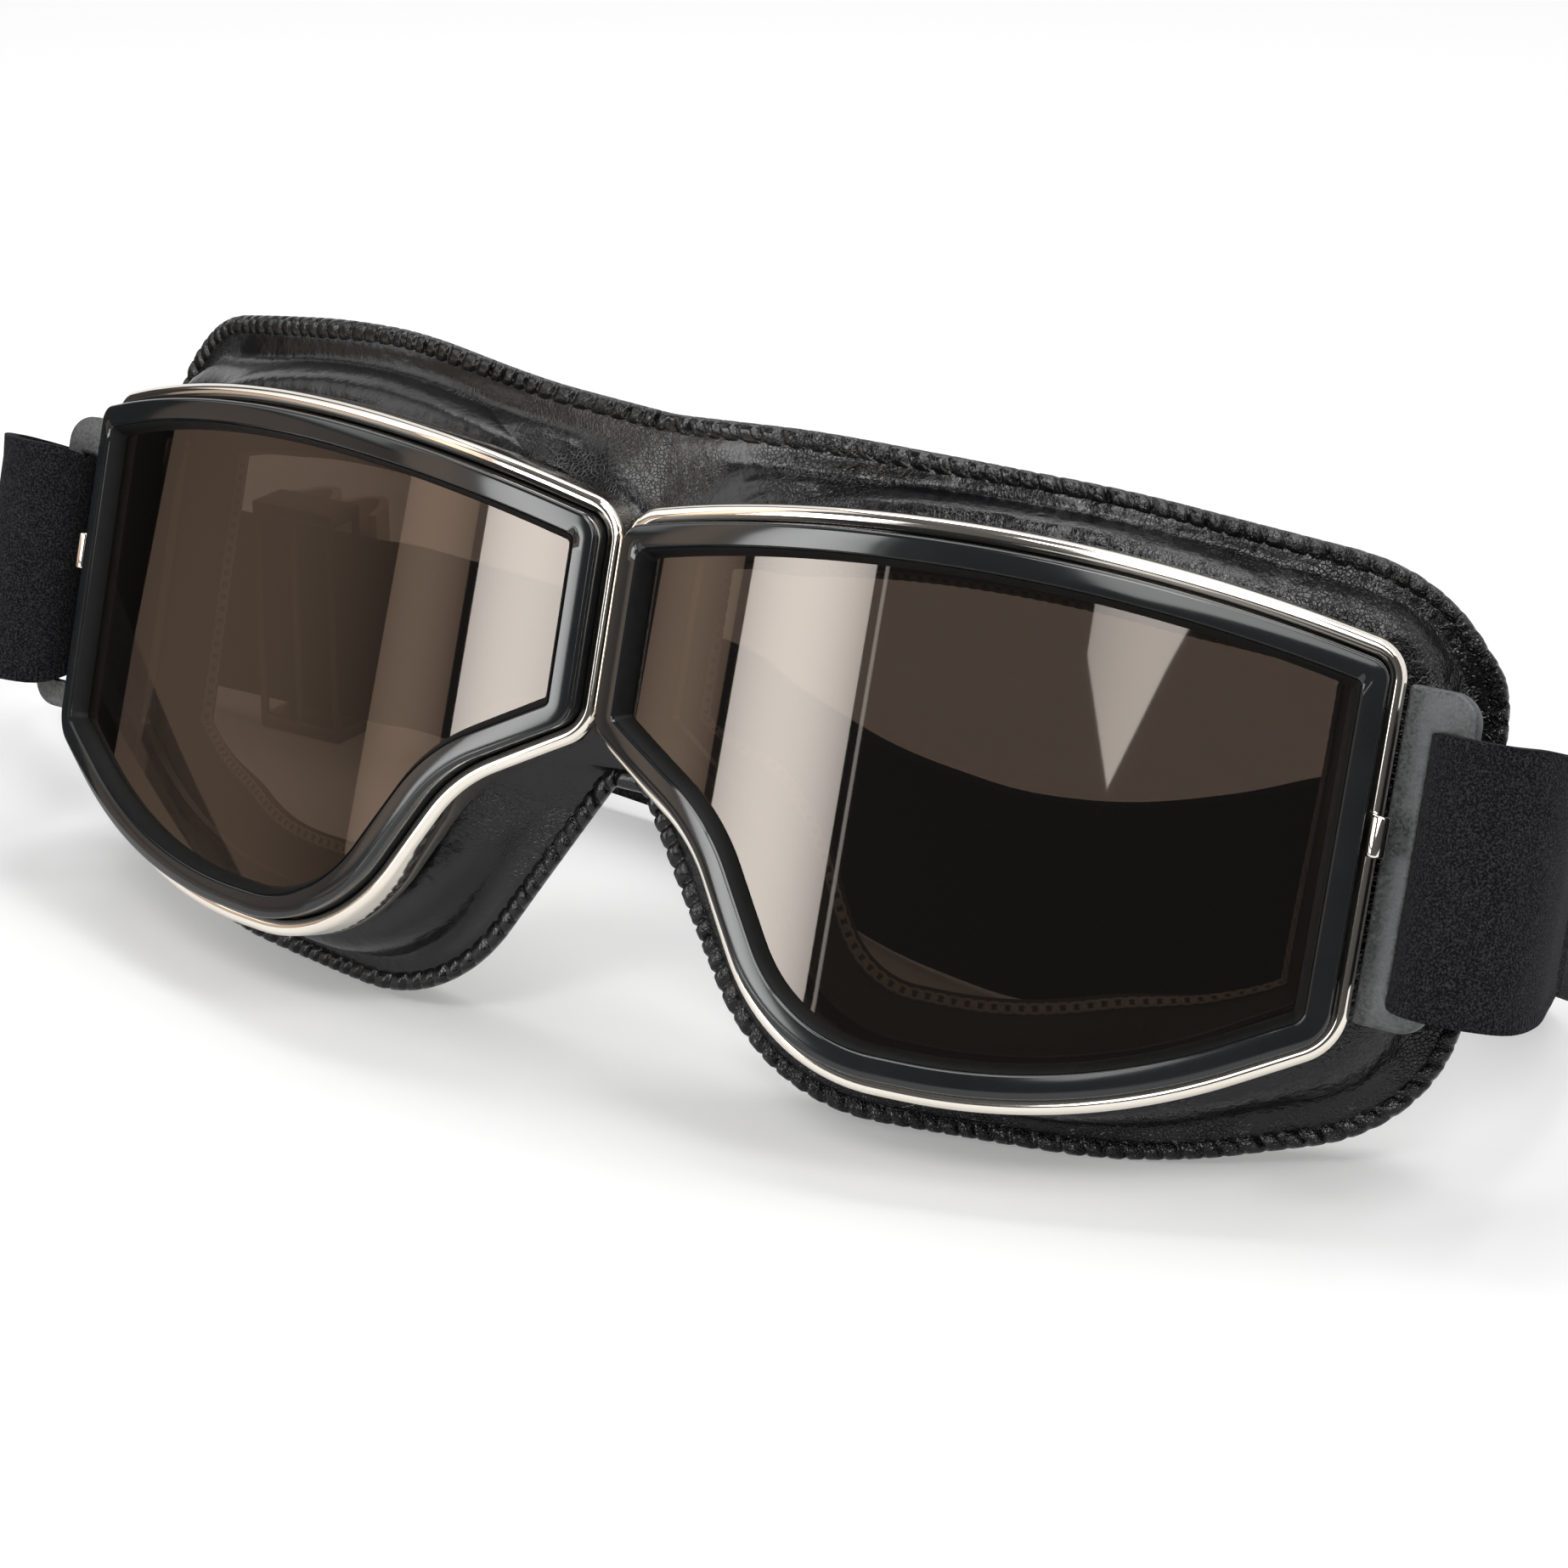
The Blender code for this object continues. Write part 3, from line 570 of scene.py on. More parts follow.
# %% Bezels
FIT = 0.0003
BEZEL_LIP = 0.0018
BEZEL_BEAD = 0.0004
BEZEL_LIP_DEPTH = 0.0008
BEZEL_WALL = 0.0006
BEZEL_DEPTH = 0.0040
BEAD_STEPS = 10


def bezel_section():
    """A half-round bead, a lip behind it and the thin wall."""
    section = []
    for k in range(BEAD_STEPS + 1):
        turn = math.pi * k / BEAD_STEPS
        section.append((BEZEL_LIP / 2 * (1 - math.cos(turn)), BEZEL_BEAD * (1 - 2 * math.sin(turn))))
    section += [(BEZEL_LIP, BEZEL_LIP_DEPTH), (BEZEL_WALL, BEZEL_LIP_DEPTH)]
    section += [(BEZEL_WALL, BEZEL_DEPTH), (0.0, BEZEL_DEPTH)]
    return section


on_both_eyes(eye_ring("right_bezel_rim", bezel_section()), "bezel", chrome)

# %% [markdown]
# ## Gaskets
# A glossy black ring stands proud of each bezel and grips the lens. Its edges are rounded, so that each
# carries a thin line of light, and its flat front mirrors the studio. Inside, a slope goes down to the
# lens. It is a piece of its own, the seal, because the photo shows it dull while the ring is polished.

# %% Gaskets
GASKET_RISE = 0.0027
GASKET_EDGE = 0.0004
GASKET_FLAT = 0.0022
LENS_GROOVE = 0.0014
LENS_THICKNESS = 0.0016
LENS_FRONT = -0.0009
GASKET_GAP = 0.00005
GASKET_OUTER = BEZEL_LIP + GASKET_GAP
GASKET_INNER = 0.0052
CROWN_AT = 0.55
CROWN = 1.03
FACE_BREAK = 0.0003
EDGE_STEPS = 5
# The seal's small offsets are multiples of this
SKIN = 0.0001


def gasket_section():
    """Rounded outer edge, a face that is slightly crowned, and an edge where the seal's slope begins."""
    foot = BEZEL_LIP_DEPTH + FIT
    flat_end = GASKET_OUTER + GASKET_FLAT
    section = [(GASKET_OUTER, foot)]
    for k in range(EDGE_STEPS + 1):
        turn = math.pi / 2 * k / EDGE_STEPS
        aside, down = GASKET_EDGE * (1 - math.cos(turn)), GASKET_EDGE * (1 - math.sin(turn))
        section.append((GASKET_OUTER + aside, down - GASKET_RISE))
    section.append((GASKET_OUTER + GASKET_FLAT * CROWN_AT, -GASKET_RISE * CROWN))
    section += [
        (flat_end, -GASKET_RISE), (flat_end + FACE_BREAK, -GASKET_RISE + FACE_BREAK),
        (GASKET_INNER - FACE_BREAK, LENS_FRONT), (GASKET_INNER - FACE_BREAK, BEZEL_DEPTH),
        (BEZEL_WALL + FIT, BEZEL_DEPTH), (BEZEL_WALL + FIT, foot),
    ]
    return section


def seal_section():
    """A thin dull skin over the slope from the gasket's face down to the lens."""
    front = GASKET_OUTER + GASKET_FLAT + FACE_BREAK
    return [
        (front, -GASKET_RISE + 2 * SKIN), (front + 2 * SKIN, -GASKET_RISE + 4 * SKIN),
        (GASKET_INNER - SKIN, LENS_FRONT - 4 * SKIN), (GASKET_INNER, LENS_FRONT + SKIN),
        (GASKET_INNER - 4 * SKIN, LENS_FRONT + SKIN), (front - SKIN, -GASKET_RISE + 6 * SKIN),
    ]


on_both_eyes(eye_ring("right_gasket_ring", gasket_section()), "lens_gasket", black_gloss)
on_both_eyes(eye_ring("right_lens_seal", seal_section()), "", black_rubber)

# %% [markdown]
# ## Lenses
# A lens is a smoked sheet bent to the eye's two arcs and trimmed to the gasket's groove. It could be cut
# from a bent plane with a Boolean, but that leaves long thin faces, which a mirror shows as kinks. So one
# sheet of even columns is shaped to the outline, and Solidify gives it its thickness. It casts no shadow,
# because its smoke has already dimmed what is seen through it.

# %% Lenses
LENS_COLUMNS = 96
LENS_ROWS = 20
# The outermost columns stay this far inside the outline, as a share of its width
LENS_TIP = 1e-4


def lens_heights(edge, u):
    """Lowest and highest point of a closed outline above u."""
    found = []
    for a, b in zip(edge, edge[1:] + edge[:1]):
        if min(a.x, b.x) <= u <= max(a.x, b.x) and abs(b.x - a.x) > 1e-9:
            found.append(a.y + (b.y - a.y) * (u - a.x) / (b.x - a.x))
    return min(found), max(found)


def lens():
    edge = eye_outline(GASKET_INNER - LENS_GROOVE + FIT)
    near = min(point.x for point in edge)
    far = max(point.x for point in edge)

    def place(column, row):
        u = near + (far - near) * min(max(column / LENS_COLUMNS, LENS_TIP), 1 - LENS_TIP)
        low, high = lens_heights(edge, u)
        return eye_point(u, low + (high - low) * row / LENS_ROWS, LENS_FRONT)

    sheet = band("right_lens_sheet", LENS_COLUMNS, LENS_ROWS, place)
    face(sheet, -1)
    modify(sheet, "SOLIDIFY", thickness=LENS_THICKNESS, offset=-1.0)
    smooth(sheet)
    return sheet


on_both_eyes(lens(), "lens", smoked_lens)
for side in ("left", "right"):
    bpy.data.objects[f"{side}_lens_sheet"].visible_shadow = False

# %% [markdown]
# ## Retaining rings
# Behind each gasket a flat steel ring clamps the leather. It is hidden in the photo, and only seen from
# behind, so it is as simple as it can be: six points of a flat section with its back edges broken, taken
# round the eye like the bezel's.

# %% Retaining rings
FLANGE_WIDTH = 0.0021
LEATHER = 0.0012
RING_THICKNESS = 0.0012
FLANGE_FRONT = BEZEL_DEPTH + FIT
FLANGE_INNER = GASKET_INNER - FIT
FLANGE_OUTER = FLANGE_INNER - FLANGE_WIDTH
RING_FRONT = FLANGE_FRONT + LEATHER + FIT
RING_EDGE = 0.0002


def ring_section():
    """A flat ring with two broken edges behind."""
    back = RING_FRONT + RING_THICKNESS
    outer, inner = FLANGE_OUTER + FIT, FLANGE_INNER
    return [
        (outer, RING_FRONT), (outer, back - RING_EDGE), (outer + RING_EDGE, back),
        (inner - RING_EDGE, back), (inner, back - RING_EDGE), (inner, RING_FRONT),
    ]


on_both_eyes(eye_ring("right_clamp_ring", ring_section()), "retaining_ring", steel)

# %% [markdown]
# ## The mask's sections
# The leather runs from the clamped flange out to the mask's rim, which lies on a bowed surface behind
# the eyes. Leather, rim, foam and lining all follow the same way round, so their sections are worked out
# once. A section at each step knows where the leather starts, where it ends, and the directions outwards
# and back.

# %% Sizes of the mask
NOTCH_TOP = -0.0031
RIM_SET_BACK = 0.0075
RIM_RADIUS = 0.1515
RIM_TILT = 0.06
PAD_LEAN = 0.35
LEATHER_REACH = 0.0008
TEMPLE = eye_point(BEZEL_WIDTH, 0.0)
MASK_CORNERS = [
    (0.0, 0.0302, 0.0001),
    (0.504 * BEZEL_WIDTH, 0.0326, 0.150),
    (TEMPLE.x + 0.0029, 0.0288, 0.014),
    (TEMPLE.x + 0.0029, -0.0214, 0.014),
    (0.7045 * BEZEL_WIDTH, -0.0297, 0.060),
    (0.3223 * BEZEL_WIDTH - 0.0053, -0.0312, 0.019),
    (0.0032, NOTCH_TOP, 0.0035),
    (0.0, NOTCH_TOP, 0.0001),
]
MASK_OUTLINE = rounded(MASK_CORNERS, CORNER_COUNTS)
FLANGE = eye_outline(FLANGE_INNER), eye_outline(FLANGE_OUTER)


def rim_point(x, z):
    """A point on the bowed surface that the mask's edge lies on."""
    return Vector((x, RIM_SET_BACK + x * x / (2 * RIM_RADIUS) - RIM_TILT * z, z))


class Section:
    """The mask's section at one step round the eye, from the clamped flange out to the leather's edge."""

    def __init__(self, index):
        inner, outer = FLANGE[0][index], FLANGE[1][index]
        self.flange = eye_point(inner.x, inner.y, FLANGE_FRONT)
        self.start = eye_point(outer.x, outer.y, FLANGE_FRONT)
        self.edge = rim_point(*(MASK_OUTLINE[index][0] + MASK_OUTLINE[index][1] * LEATHER_REACH))
        middle = eye_point(BEZEL_WIDTH / 2, 0.0)
        aside = middle - self.start
        aside.y = 0.0
        self.back = (eye_back(outer.x) + aside.normalized() * PAD_LEAN).normalized()
        outward = MASK_OUTLINE[index][1]
        slope = self.edge.x / RIM_RADIUS * outward.x - RIM_TILT * outward.y
        self.out = Vector((outward.x, slope, outward.y)).normalized()
        along = (self.edge - self.start).normalized()
        self.puff = (along * self.back.dot(along) - self.back).normalized()

    def at(self, share, behind):
        """The point a share of the way out, set back from the leather's front by behind."""
        return self.start.lerp(self.edge, share) + self.back * behind


SECTIONS = [Section(index) for index in range(len(MASK_OUTLINE))]
# The stretch of the outline that is the mask's free rim, without its nose line
RIM = SECTIONS[CORNER_COUNTS[0][0]:len(SECTIONS) - sum(CORNER_COUNTS[-1]) + 1]
print(f"{len(SECTIONS)} sections, {len(RIM)} of them along the rim")

# %% [markdown]
# ## Leather mask
# One skin covers both halves. The right half is a band from the flange to the rim, rolled up beside the
# bezel and dipped before the rim; Mirror cuts it at the nose and makes it whole. Then it is moved like
# real leather: the nose is smoothed, the brow sits higher on the left, and soft folds and creases run
# over it. A cloth simulation could do this too, but the photo says where each roll lies.

# %% Sizes of the leather
LEATHER_ROWS = 26
ROLL_SHARE = 0.42
ROLL_WIDTH = 0.22
ROLL_HEIGHT = 0.0013
DIP_SHARE = 0.80
DIP_WIDTH = 0.12
DIP_DEPTH = 0.0008
LEFT_BROW = 0.0014
RIGHT_BROW = -0.0013
LEFT_TUCK = 0.0020
BROW_FROM = 0.012
BROW_TO = 0.040
NOSE_SOFT = 0.011
NOSE_SOFT_ABOVE = 0.0225
NOSE_HELD = 0.0014
NOSE_SMOOTHINGS = 300
FOLD_SIZE = 75.0
FOLD_HEIGHT = 0.00020
FOLD_UPRIGHT = 1.6
CREASE_SIZE = 240.0
CREASE_HEIGHT = 0.00030
CREASE_SHIFT = Vector((3.1, 0.0, 7.7))
CREASE_LEAST = 0.15
CREASE_LEVEL = 0.3
# Where these come in, from none of it to all of it
BROW_OVER_BEZEL = 0.006
TUCK_ALONG = (0.058, 0.080)
TUCK_UP = (0.006, 0.026)
ROLL_FROM_NOSE = (0.003, 0.016)
ROLL_FROM_CLAMP = 6
ROLL_FROM_RIM = 12
FOLDS_BACK = (0.004, 0.010)
CREASES_ALONG = (0.035, 0.070)


# %% How the leather lies
def bell(value, middle, width):
    """From 1 in the middle down to 0 on both sides."""
    return math.exp(-((value - middle) / width) ** 2)


def ease(value, low, high):
    """From 0 at low to 1 at high, smoothly."""
    share = min(max((value - low) / (high - low), 0.0), 1.0)
    return share * share * (3 - 2 * share)


BROW_ABOVE = 0.012
BROW_EDGE = sorted((eye_point(p.x, p.y).x, p.y) for p in eye_outline(0.0) if p.y > BROW_ABOVE)


def bezel_top(x):
    """Height of the bezel's upper edge at a distance from the nose."""
    before = max((spot for spot in BROW_EDGE if spot[0] <= abs(x)), default=BROW_EDGE[0])
    return before[1]


def settle(point):
    """How the soft brow has settled: up on the left, down on the right, still at the bezel."""
    lift = LEFT_BROW if point.x < 0 else RIGHT_BROW
    still = bezel_top(point.x)
    share = ease(abs(point.x), BROW_FROM, BROW_TO) * ease(point.z, still, still + BROW_OVER_BEZEL)
    point.z += lift * share
    point.x += LEFT_TUCK * ease(-point.x, *TUCK_ALONG) * ease(point.z, *TUCK_UP)
    return point


def leather_point(column, row):
    """A point of the right half's leather: the flange first, then out to the rim."""
    section = SECTIONS[column % len(SECTIONS)]
    if row == 0:
        return section.flange
    share = (row - 1) / (LEATHER_ROWS - 1)
    roll = ROLL_HEIGHT * bell(share, ROLL_SHARE, ROLL_WIDTH)
    dip = DIP_DEPTH * bell(share, DIP_SHARE, DIP_WIDTH)
    held = min(1.0, ROLL_FROM_CLAMP * share, ROLL_FROM_RIM * (1 - share))
    free = held * ease(section.edge.x, *ROLL_FROM_NOSE)
    return section.at(share, 0.0) + section.puff * (roll - dip) * free


# %% Folds, creases and a soft nose
def crumpled(piece):
    """Soft folds and short creases, pressed into the leather and left out where it is clamped."""
    for vert in piece.data.vertices:
        point = settle(vert.co.copy())
        free = ease(point.y, *FOLDS_BACK)
        soft = noise.noise(Vector((point.x, point.y, point.z * FOLD_UPRIGHT)) * FOLD_SIZE)
        sharp = abs(noise.noise(point * CREASE_SIZE + CREASE_SHIFT))
        crease = CREASE_HEIGHT * (CREASE_LEAST + ease(point.x, *CREASES_ALONG)) * (CREASE_LEVEL - sharp)
        point.y += free * (FOLD_HEIGHT * soft + crease)
        vert.co = point


def select_none(piece):
    for part in (*piece.data.vertices, *piece.data.edges, *piece.data.polygons):
        part.select = False


def soften_nose(piece):
    """Smooth the leather over the nose, so that it runs across without a crease."""
    only(piece)
    select_none(piece)
    uses = {}
    for polygon in piece.data.polygons:
        for edge in polygon.edge_keys:
            uses[edge] = uses.get(edge, 0) + 1
    open_edge = {index for edge, count in uses.items() if count == 1 for index in edge}
    held = [piece.data.vertices[index].co for index in open_edge]
    held = [place for place in held if abs(place.x) < 2 * NOSE_SOFT]
    for vert in piece.data.vertices:
        if abs(vert.co.x) < NOSE_SOFT and vert.co.z > NOSE_SOFT_ABOVE:
            vert.select = min((vert.co - place).length for place in held) > NOSE_HELD
    bpy.ops.object.mode_set(mode="EDIT")
    bpy.ops.mesh.vertices_smooth(factor=0.5, repeat=NOSE_SMOOTHINGS)
    bpy.ops.object.mode_set(mode="OBJECT")


# %% Leather mask
def leather_mask():
    mask = band("leather_mask", len(SECTIONS), LEATHER_ROWS, leather_point)
    edit(mask, merge)
    modify(
        mask, "MIRROR", use_clip=False, merge_threshold=1e-5, bisect_threshold=1e-6,
        use_bisect_axis=(True, False, False),
    )
    edit(mask, merge)
    face(mask, -1)
    soften_nose(mask)
    crumpled(mask)
    modify(mask, "SOLIDIFY", thickness=LEATHER, offset=-1.0)
    smooth(mask, 60.0)
    mask.data.materials.append(black_leather)
    return mask


def across_the_fold(piece, slot, *nodes):
    """A soft piece that rests on the table."""
    stand(piece)
    for vert in piece.data.vertices:
        vert.co.z = max(vert.co.z, 0.0)
    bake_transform(piece)
    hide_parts(*nodes)
    print(piece.name, len(piece.data.polygons), "faces")


across_the_fold(
    leather_mask(), "black_leather", "left_mask_leather", "right_mask_leather", "nose_bridge_leather"
)

# %% [markdown]
# ## Pinched rim
# The leather's edge is bound and whipped with thread, which pinches it into small ridges, about two
# millimetres apart. A bump could fake them, but the rim is the mask's outline against the table, where
# only real shape shows. So the rim is a closed band whose section swells and draws in along its length,
# unevenly, as hand work does.

# %% Way along the rim
RIDGE_PITCH = 0.0020
RIDGE_DEPTH = 0.0006
RIDGE_SLANT = 0.22
RIDGE_WIDE = 1.5
RIDGE_ROUND = 0.8
RIDGE_BEHIND = 0.2
RIM_STEP = 0.00019
RIM_OUT = 0.0007
RIM_HALF = 0.00120
RIM_BEHIND = 0.0008
RIM_DEEP = 0.0014
RIM_ROWS = 20
# Noise along the rim, as (scale, strength): where the ridges lie, how deep they are, and fine wrinkles
DRIFT = (90.0, 0.9)
UNEVEN = (400.0, 0.5)
CRINKLE = (1300.0, 0.00012)


def rim_path():
    """Sections evenly along the rim, from the brow's middle to the notch's middle."""
    ways = [0.0]
    for a, b in zip(RIM, RIM[1:]):
        ways.append(ways[-1] + (b.edge - a.edge).length)
    count = round(ways[-1] / RIM_STEP)
    path = []
    at = 0
    for k in range(count + 1):
        way = ways[-1] * k / count
        while at < len(RIM) - 2 and ways[at + 1] < way:
            at += 1
        share = (way - ways[at]) / (ways[at + 1] - ways[at])
        a, b = RIM[at], RIM[at + 1]
        path.append((way, a.edge.lerp(b.edge, share), a.out.lerp(b.out, share), a.back.lerp(b.back, share)))
    return path


# %% Pinched rim
def pinched_rim():
    path = rim_path()
    columns = len(path) - 1

    def place(column, row):
        way, edge, out, back = path[column]
        turn = 2 * math.pi * row / RIM_ROWS
        front = -math.sin(turn)
        drift = DRIFT[1] * noise.noise(Vector((way * DRIFT[0], 0.0, 0.0)))
        slant = RIDGE_SLANT * math.cos(turn)
        wave = abs(math.sin(math.pi * (way / RIDGE_PITCH + drift + slant)))
        deep = 1 + UNEVEN[1] * noise.noise(Vector((way * UNEVEN[0], 5.0, 0.0)))
        ridge = min(1.0, wave * RIDGE_WIDE) ** RIDGE_ROUND
        pinch = RIDGE_DEPTH * deep * (1 - ridge) * max(0.0, RIDGE_BEHIND + front)
        wrinkle = noise.noise(Vector((way * CRINKLE[0], turn * 1.5, 2.0)))
        crinkle = CRINKLE[1] * wrinkle * max(0.0, front)
        point = edge + out * (RIM_OUT + RIM_HALF * math.cos(turn))
        point += back * (RIM_BEHIND - RIM_DEEP * front + pinch + crinkle)
        if column in (0, columns):
            point.x = 0.0
        return point

    rim = band("pinched_rim", columns, RIM_ROWS, place)
    edit(rim, merge)
    modify(rim, "MIRROR", use_clip=False, merge_threshold=1e-5)
    edit(rim, merge, outwards)
    for vert in rim.data.vertices:
        vert.co = settle(vert.co.copy())
    smooth(rim, 80.0)
    rim.data.materials.append(black_leather)
    return rim


across_the_fold(pinched_rim(), "black_leather", "left_rim_binding", "right_rim_binding")

# %% [markdown]
# ## Face pads and lining
# Behind the leather lies a crowned ring of foam, covered on the face's side by soft lining. The foam
# swells between its edges; the lining wraps it, from the rim over the crown and down to the clamp ring.
# Both are hidden in the photo, so their thickness is a guess. The foam is a closed band with flat ends at
# the nose. The lining is an open sheet over it, thickened inwards by Solidify.

# %% Face pads
PAD_DEPTH = 0.0075
PAD_BASE = LEATHER + FIT
PAD_ROWS = 16
PAD_FROM = 0.14
PAD_REACH = 0.76
PAD_FILL = 0.93
PAD_LOPSIDED = 0.85
PAD_ROUNDNESS = 0.6


def pad_curve(share):
    """Height of the crowned foam over its base, as a share of its depth."""
    return max(0.0, math.sin(math.pi * share ** PAD_LOPSIDED)) ** PAD_ROUNDNESS


def pad_point(column, row):
    """A point round the foam's section: out along its base, and back over its crown."""
    turn = row % PAD_ROWS
    half = PAD_ROWS // 2
    share = min(turn, PAD_ROWS - turn) / half
    crown = PAD_DEPTH * PAD_FILL * pad_curve(1 - share) if turn > half else 0.0
    return RIM[column].at(PAD_FROM + PAD_REACH * share, PAD_BASE + crown)


def face_pad():
    pad = band("right_face_foam", len(RIM) - 1, PAD_ROWS, pad_point)
    edit(pad, merge, cap_ends, outwards)
    smooth(pad, 70.0)
    return pad


on_both_eyes(face_pad(), "face_pad", foam)

# %% Lining
LINING = 0.0008
LINING_ROWS = 18
LINING_FROM = 0.98
LINING_REACH = 0.93
LINING_OVER = 0.0004
SWELL_SIZE = 160.0
SWELL = 0.05


def lining_point(column, row):
    """A point of the lining, from the rim over the foam's crown to the clamp ring."""
    section = RIM[column]
    share = row / LINING_ROWS
    swell = 1 + SWELL * noise.noise(section.edge * SWELL_SIZE)
    behind = PAD_BASE + FIT + PAD_DEPTH * swell * pad_curve(share) + LINING_OVER
    return section.at(LINING_FROM - LINING_REACH * share, behind)


def lining():
    cover = band("right_lining_cover", len(RIM) - 1, LINING_ROWS, lining_point)
    face(cover, 1)
    modify(cover, "SOLIDIFY", thickness=LINING, offset=-1.0)
    smooth(cover, 60.0)
    return cover


on_both_eyes(lining(), "mask_lining", lining_leather)

# %% [markdown]
# ## Lip and chain stitch
# Inside the pad the lining ends in a soft lip behind the lens, wide under the eye and narrow at the
# brow. A row of tan chain stitch runs along it and shows through the smoke. A texture would be too flat
# for it so close behind a lens. So one link is a stretched torus, copied along the lip, each copy laid on the
# lip and turned to its run, and all are joined at the end.

# %% Lip
LIP_BROW = 0.0070
LIP_CHEEK = 0.0102
LIP_NOSE = 0.0056
LIP_FRONT = RING_FRONT + RING_THICKNESS + FIT
LIP_BACK = 0.0105
LIP_TEMPLE = 0.0035
LIP_ROWS = 6
LIP_THICKNESS = 0.0006
LIP_OVERLAP = 0.0004
LIP_ROUNDNESS = 0.6
# Where the lip widens and narrows, up the eye and along it, from none of it to all of it
CHEEK_UP = (-0.012, 0.014)
NOSE_ALONG = (0.006, 0.016)
TEMPLE_ALONG = (0.058, 0.076)
TEMPLE_NARROWS = 0.8
TEMPLE_BACK_ALONG = (0.045, 0.076)
# Outlines at even insets, to look places up between
LIP_STEP = 0.0004
LIP_OUTLINES = [eye_outline(LIP_STEP * k) for k in range(28)]


def lip_spot(index, share):
    """A point on the lip, a share of the way from the clamp ring to its free edge."""
    spot = FLANGE[0][index]
    low = 1 - ease(spot.y, *CHEEK_UP)
    wide = LIP_BROW + (LIP_CHEEK - LIP_BROW) * low
    narrowed = 1 - ease(spot.x, *TEMPLE_ALONG) * TEMPLE_NARROWS
    reach = LIP_NOSE + (wide - LIP_NOSE) * ease(spot.x, *NOSE_ALONG) * narrowed
    behind = LIP_BACK + LIP_TEMPLE * ease(spot.x, *TEMPLE_BACK_ALONG)
    inset = FLANGE_INNER - LIP_OVERLAP + (reach - FLANGE_INNER) * share
    step = min(int(inset / LIP_STEP), len(LIP_OUTLINES) - 2)
    ring = LIP_OUTLINES[step][index].lerp(LIP_OUTLINES[step + 1][index], inset / LIP_STEP % 1.0)
    return eye_point(ring.x, ring.y, LIP_FRONT + (behind - LIP_FRONT) * share ** LIP_ROUNDNESS)


def lip():
    count = len(FLANGE[0])

    def place(column, row):
        return lip_spot(column % count, row / LIP_ROWS)

    sheet = band("right_lining_lip", count, LIP_ROWS, place)
    edit(sheet, merge, outwards)
    modify(sheet, "SOLIDIFY", thickness=LIP_THICKNESS, offset=0.0)
    smooth(sheet, 60.0)
    return sheet


on_both_eyes(lip(), "", lining_leather)

# %% Chain stitch
LINK_PITCH = 0.00135
LINK_LENGTH = 0.00085
LINK_WIDTH = 0.00048
THREAD = 0.00017
STITCH_SHARE = 0.82
INSIDE_SHARE = STITCH_SHARE + 0.1


def stitch_line():
    """Places and directions along the lip, on the side that the lens shows."""
    count = len(FLANGE[0])
    spots = [lip_spot(index % count, STITCH_SHARE) for index in range(count + 1)]
    inside = [lip_spot(index % count, INSIDE_SHARE) for index in range(count + 1)]
    line, way = [], 0.0
    for a, b, side in zip(spots, spots[1:], inside):
        length = (b - a).length
        while way < length:
            line.append((a.lerp(b, way / length), (b - a).normalized(), (side - a).normalized()))
            way += LINK_PITCH
        way -= length
    return line


def chain_stitch():
    bpy.ops.object.select_all(action="DESELECT")
    bpy.ops.mesh.primitive_torus_add(
        major_segments=10, minor_segments=4, major_radius=LINK_WIDTH, minor_radius=THREAD
    )
    link = bpy.context.object
    link.scale.x = LINK_LENGTH / LINK_WIDTH
    bpy.ops.object.transform_apply(location=True, rotation=True, scale=True)
    smooth(link, 80.0)
    links = []
    for place, along, across in stitch_line():
        up = along.cross(across).normalized()
        if up.y > 0:
            up.negate()
        across = up.cross(along)
        turned = Matrix((along, across, up)).transposed().to_4x4()
        copy = link.copy()
        copy.data = link.data.copy()
        copy.data.transform(Matrix.Translation(place + up * (LIP_THICKNESS / 2 + THREAD)) @ turned)
        bpy.context.scene.collection.objects.link(copy)
        links.append(copy)
    bpy.data.objects.remove(link)
    bpy.ops.object.select_all(action="DESELECT")
    for copy in links:
        copy.select_set(True)
    bpy.context.view_layer.objects.active = links[0]
    bpy.ops.object.join()
    links[0].name = links[0].data.name = "right_chain_stitch"
    return links[0]


on_both_eyes(chain_stitch(), "", tan_thread)

# %% [markdown]
# ## Strap brackets and clips
# A gray plate beside each bezel has a long slot for the strap. The plate is a box: two of its upright
# corners are bevelled round, a Boolean cuts the slot, and Bevel breaks all sharp edges, which is how a
# stamped and painted plate looks. A small chrome barrel beside it closes the bezel's two ends. It is a
# cylinder with broken edges.

# %% Sizes of a bracket
BRACKET_THICKNESS = 0.0016
BRACKET_WIDTH = 0.0075
BRACKET_OVER_SLOT = 0.0042
BRACKET_UNDER_SLOT = 0.0030
BRACKET_RADIUS = 0.0030
BRACKET_BREAK = 0.0004
BRACKET_SINK = 0.0010
SLOT_INSET = 0.0032
SLOT_HEIGHT_AT = 0.0030
SLOT_CLEARANCE = 0.0003
STRAP_THICKNESS = 0.0015
TEMPLE_BACK = eye_back(BEZEL_WIDTH)
SLOT_WIDTH = STRAP_THICKNESS + 2 * SLOT_CLEARANCE
SLOT_HEIGHT = STRAP_WIDTH + 2 * SLOT_CLEARANCE
BRACKET_EDGE = TEMPLE.x + (FIT + BRACKET_SINK * TEMPLE_BACK.x) / TEMPLE_BACK.y
BRACKET_FRONT = TEMPLE.y + BRACKET_SINK
BRACKET_TOP = SLOT_HEIGHT_AT + SLOT_HEIGHT / 2 + BRACKET_OVER_SLOT
BRACKET_BOTTOM = SLOT_HEIGHT_AT - SLOT_HEIGHT / 2 - BRACKET_UNDER_SLOT
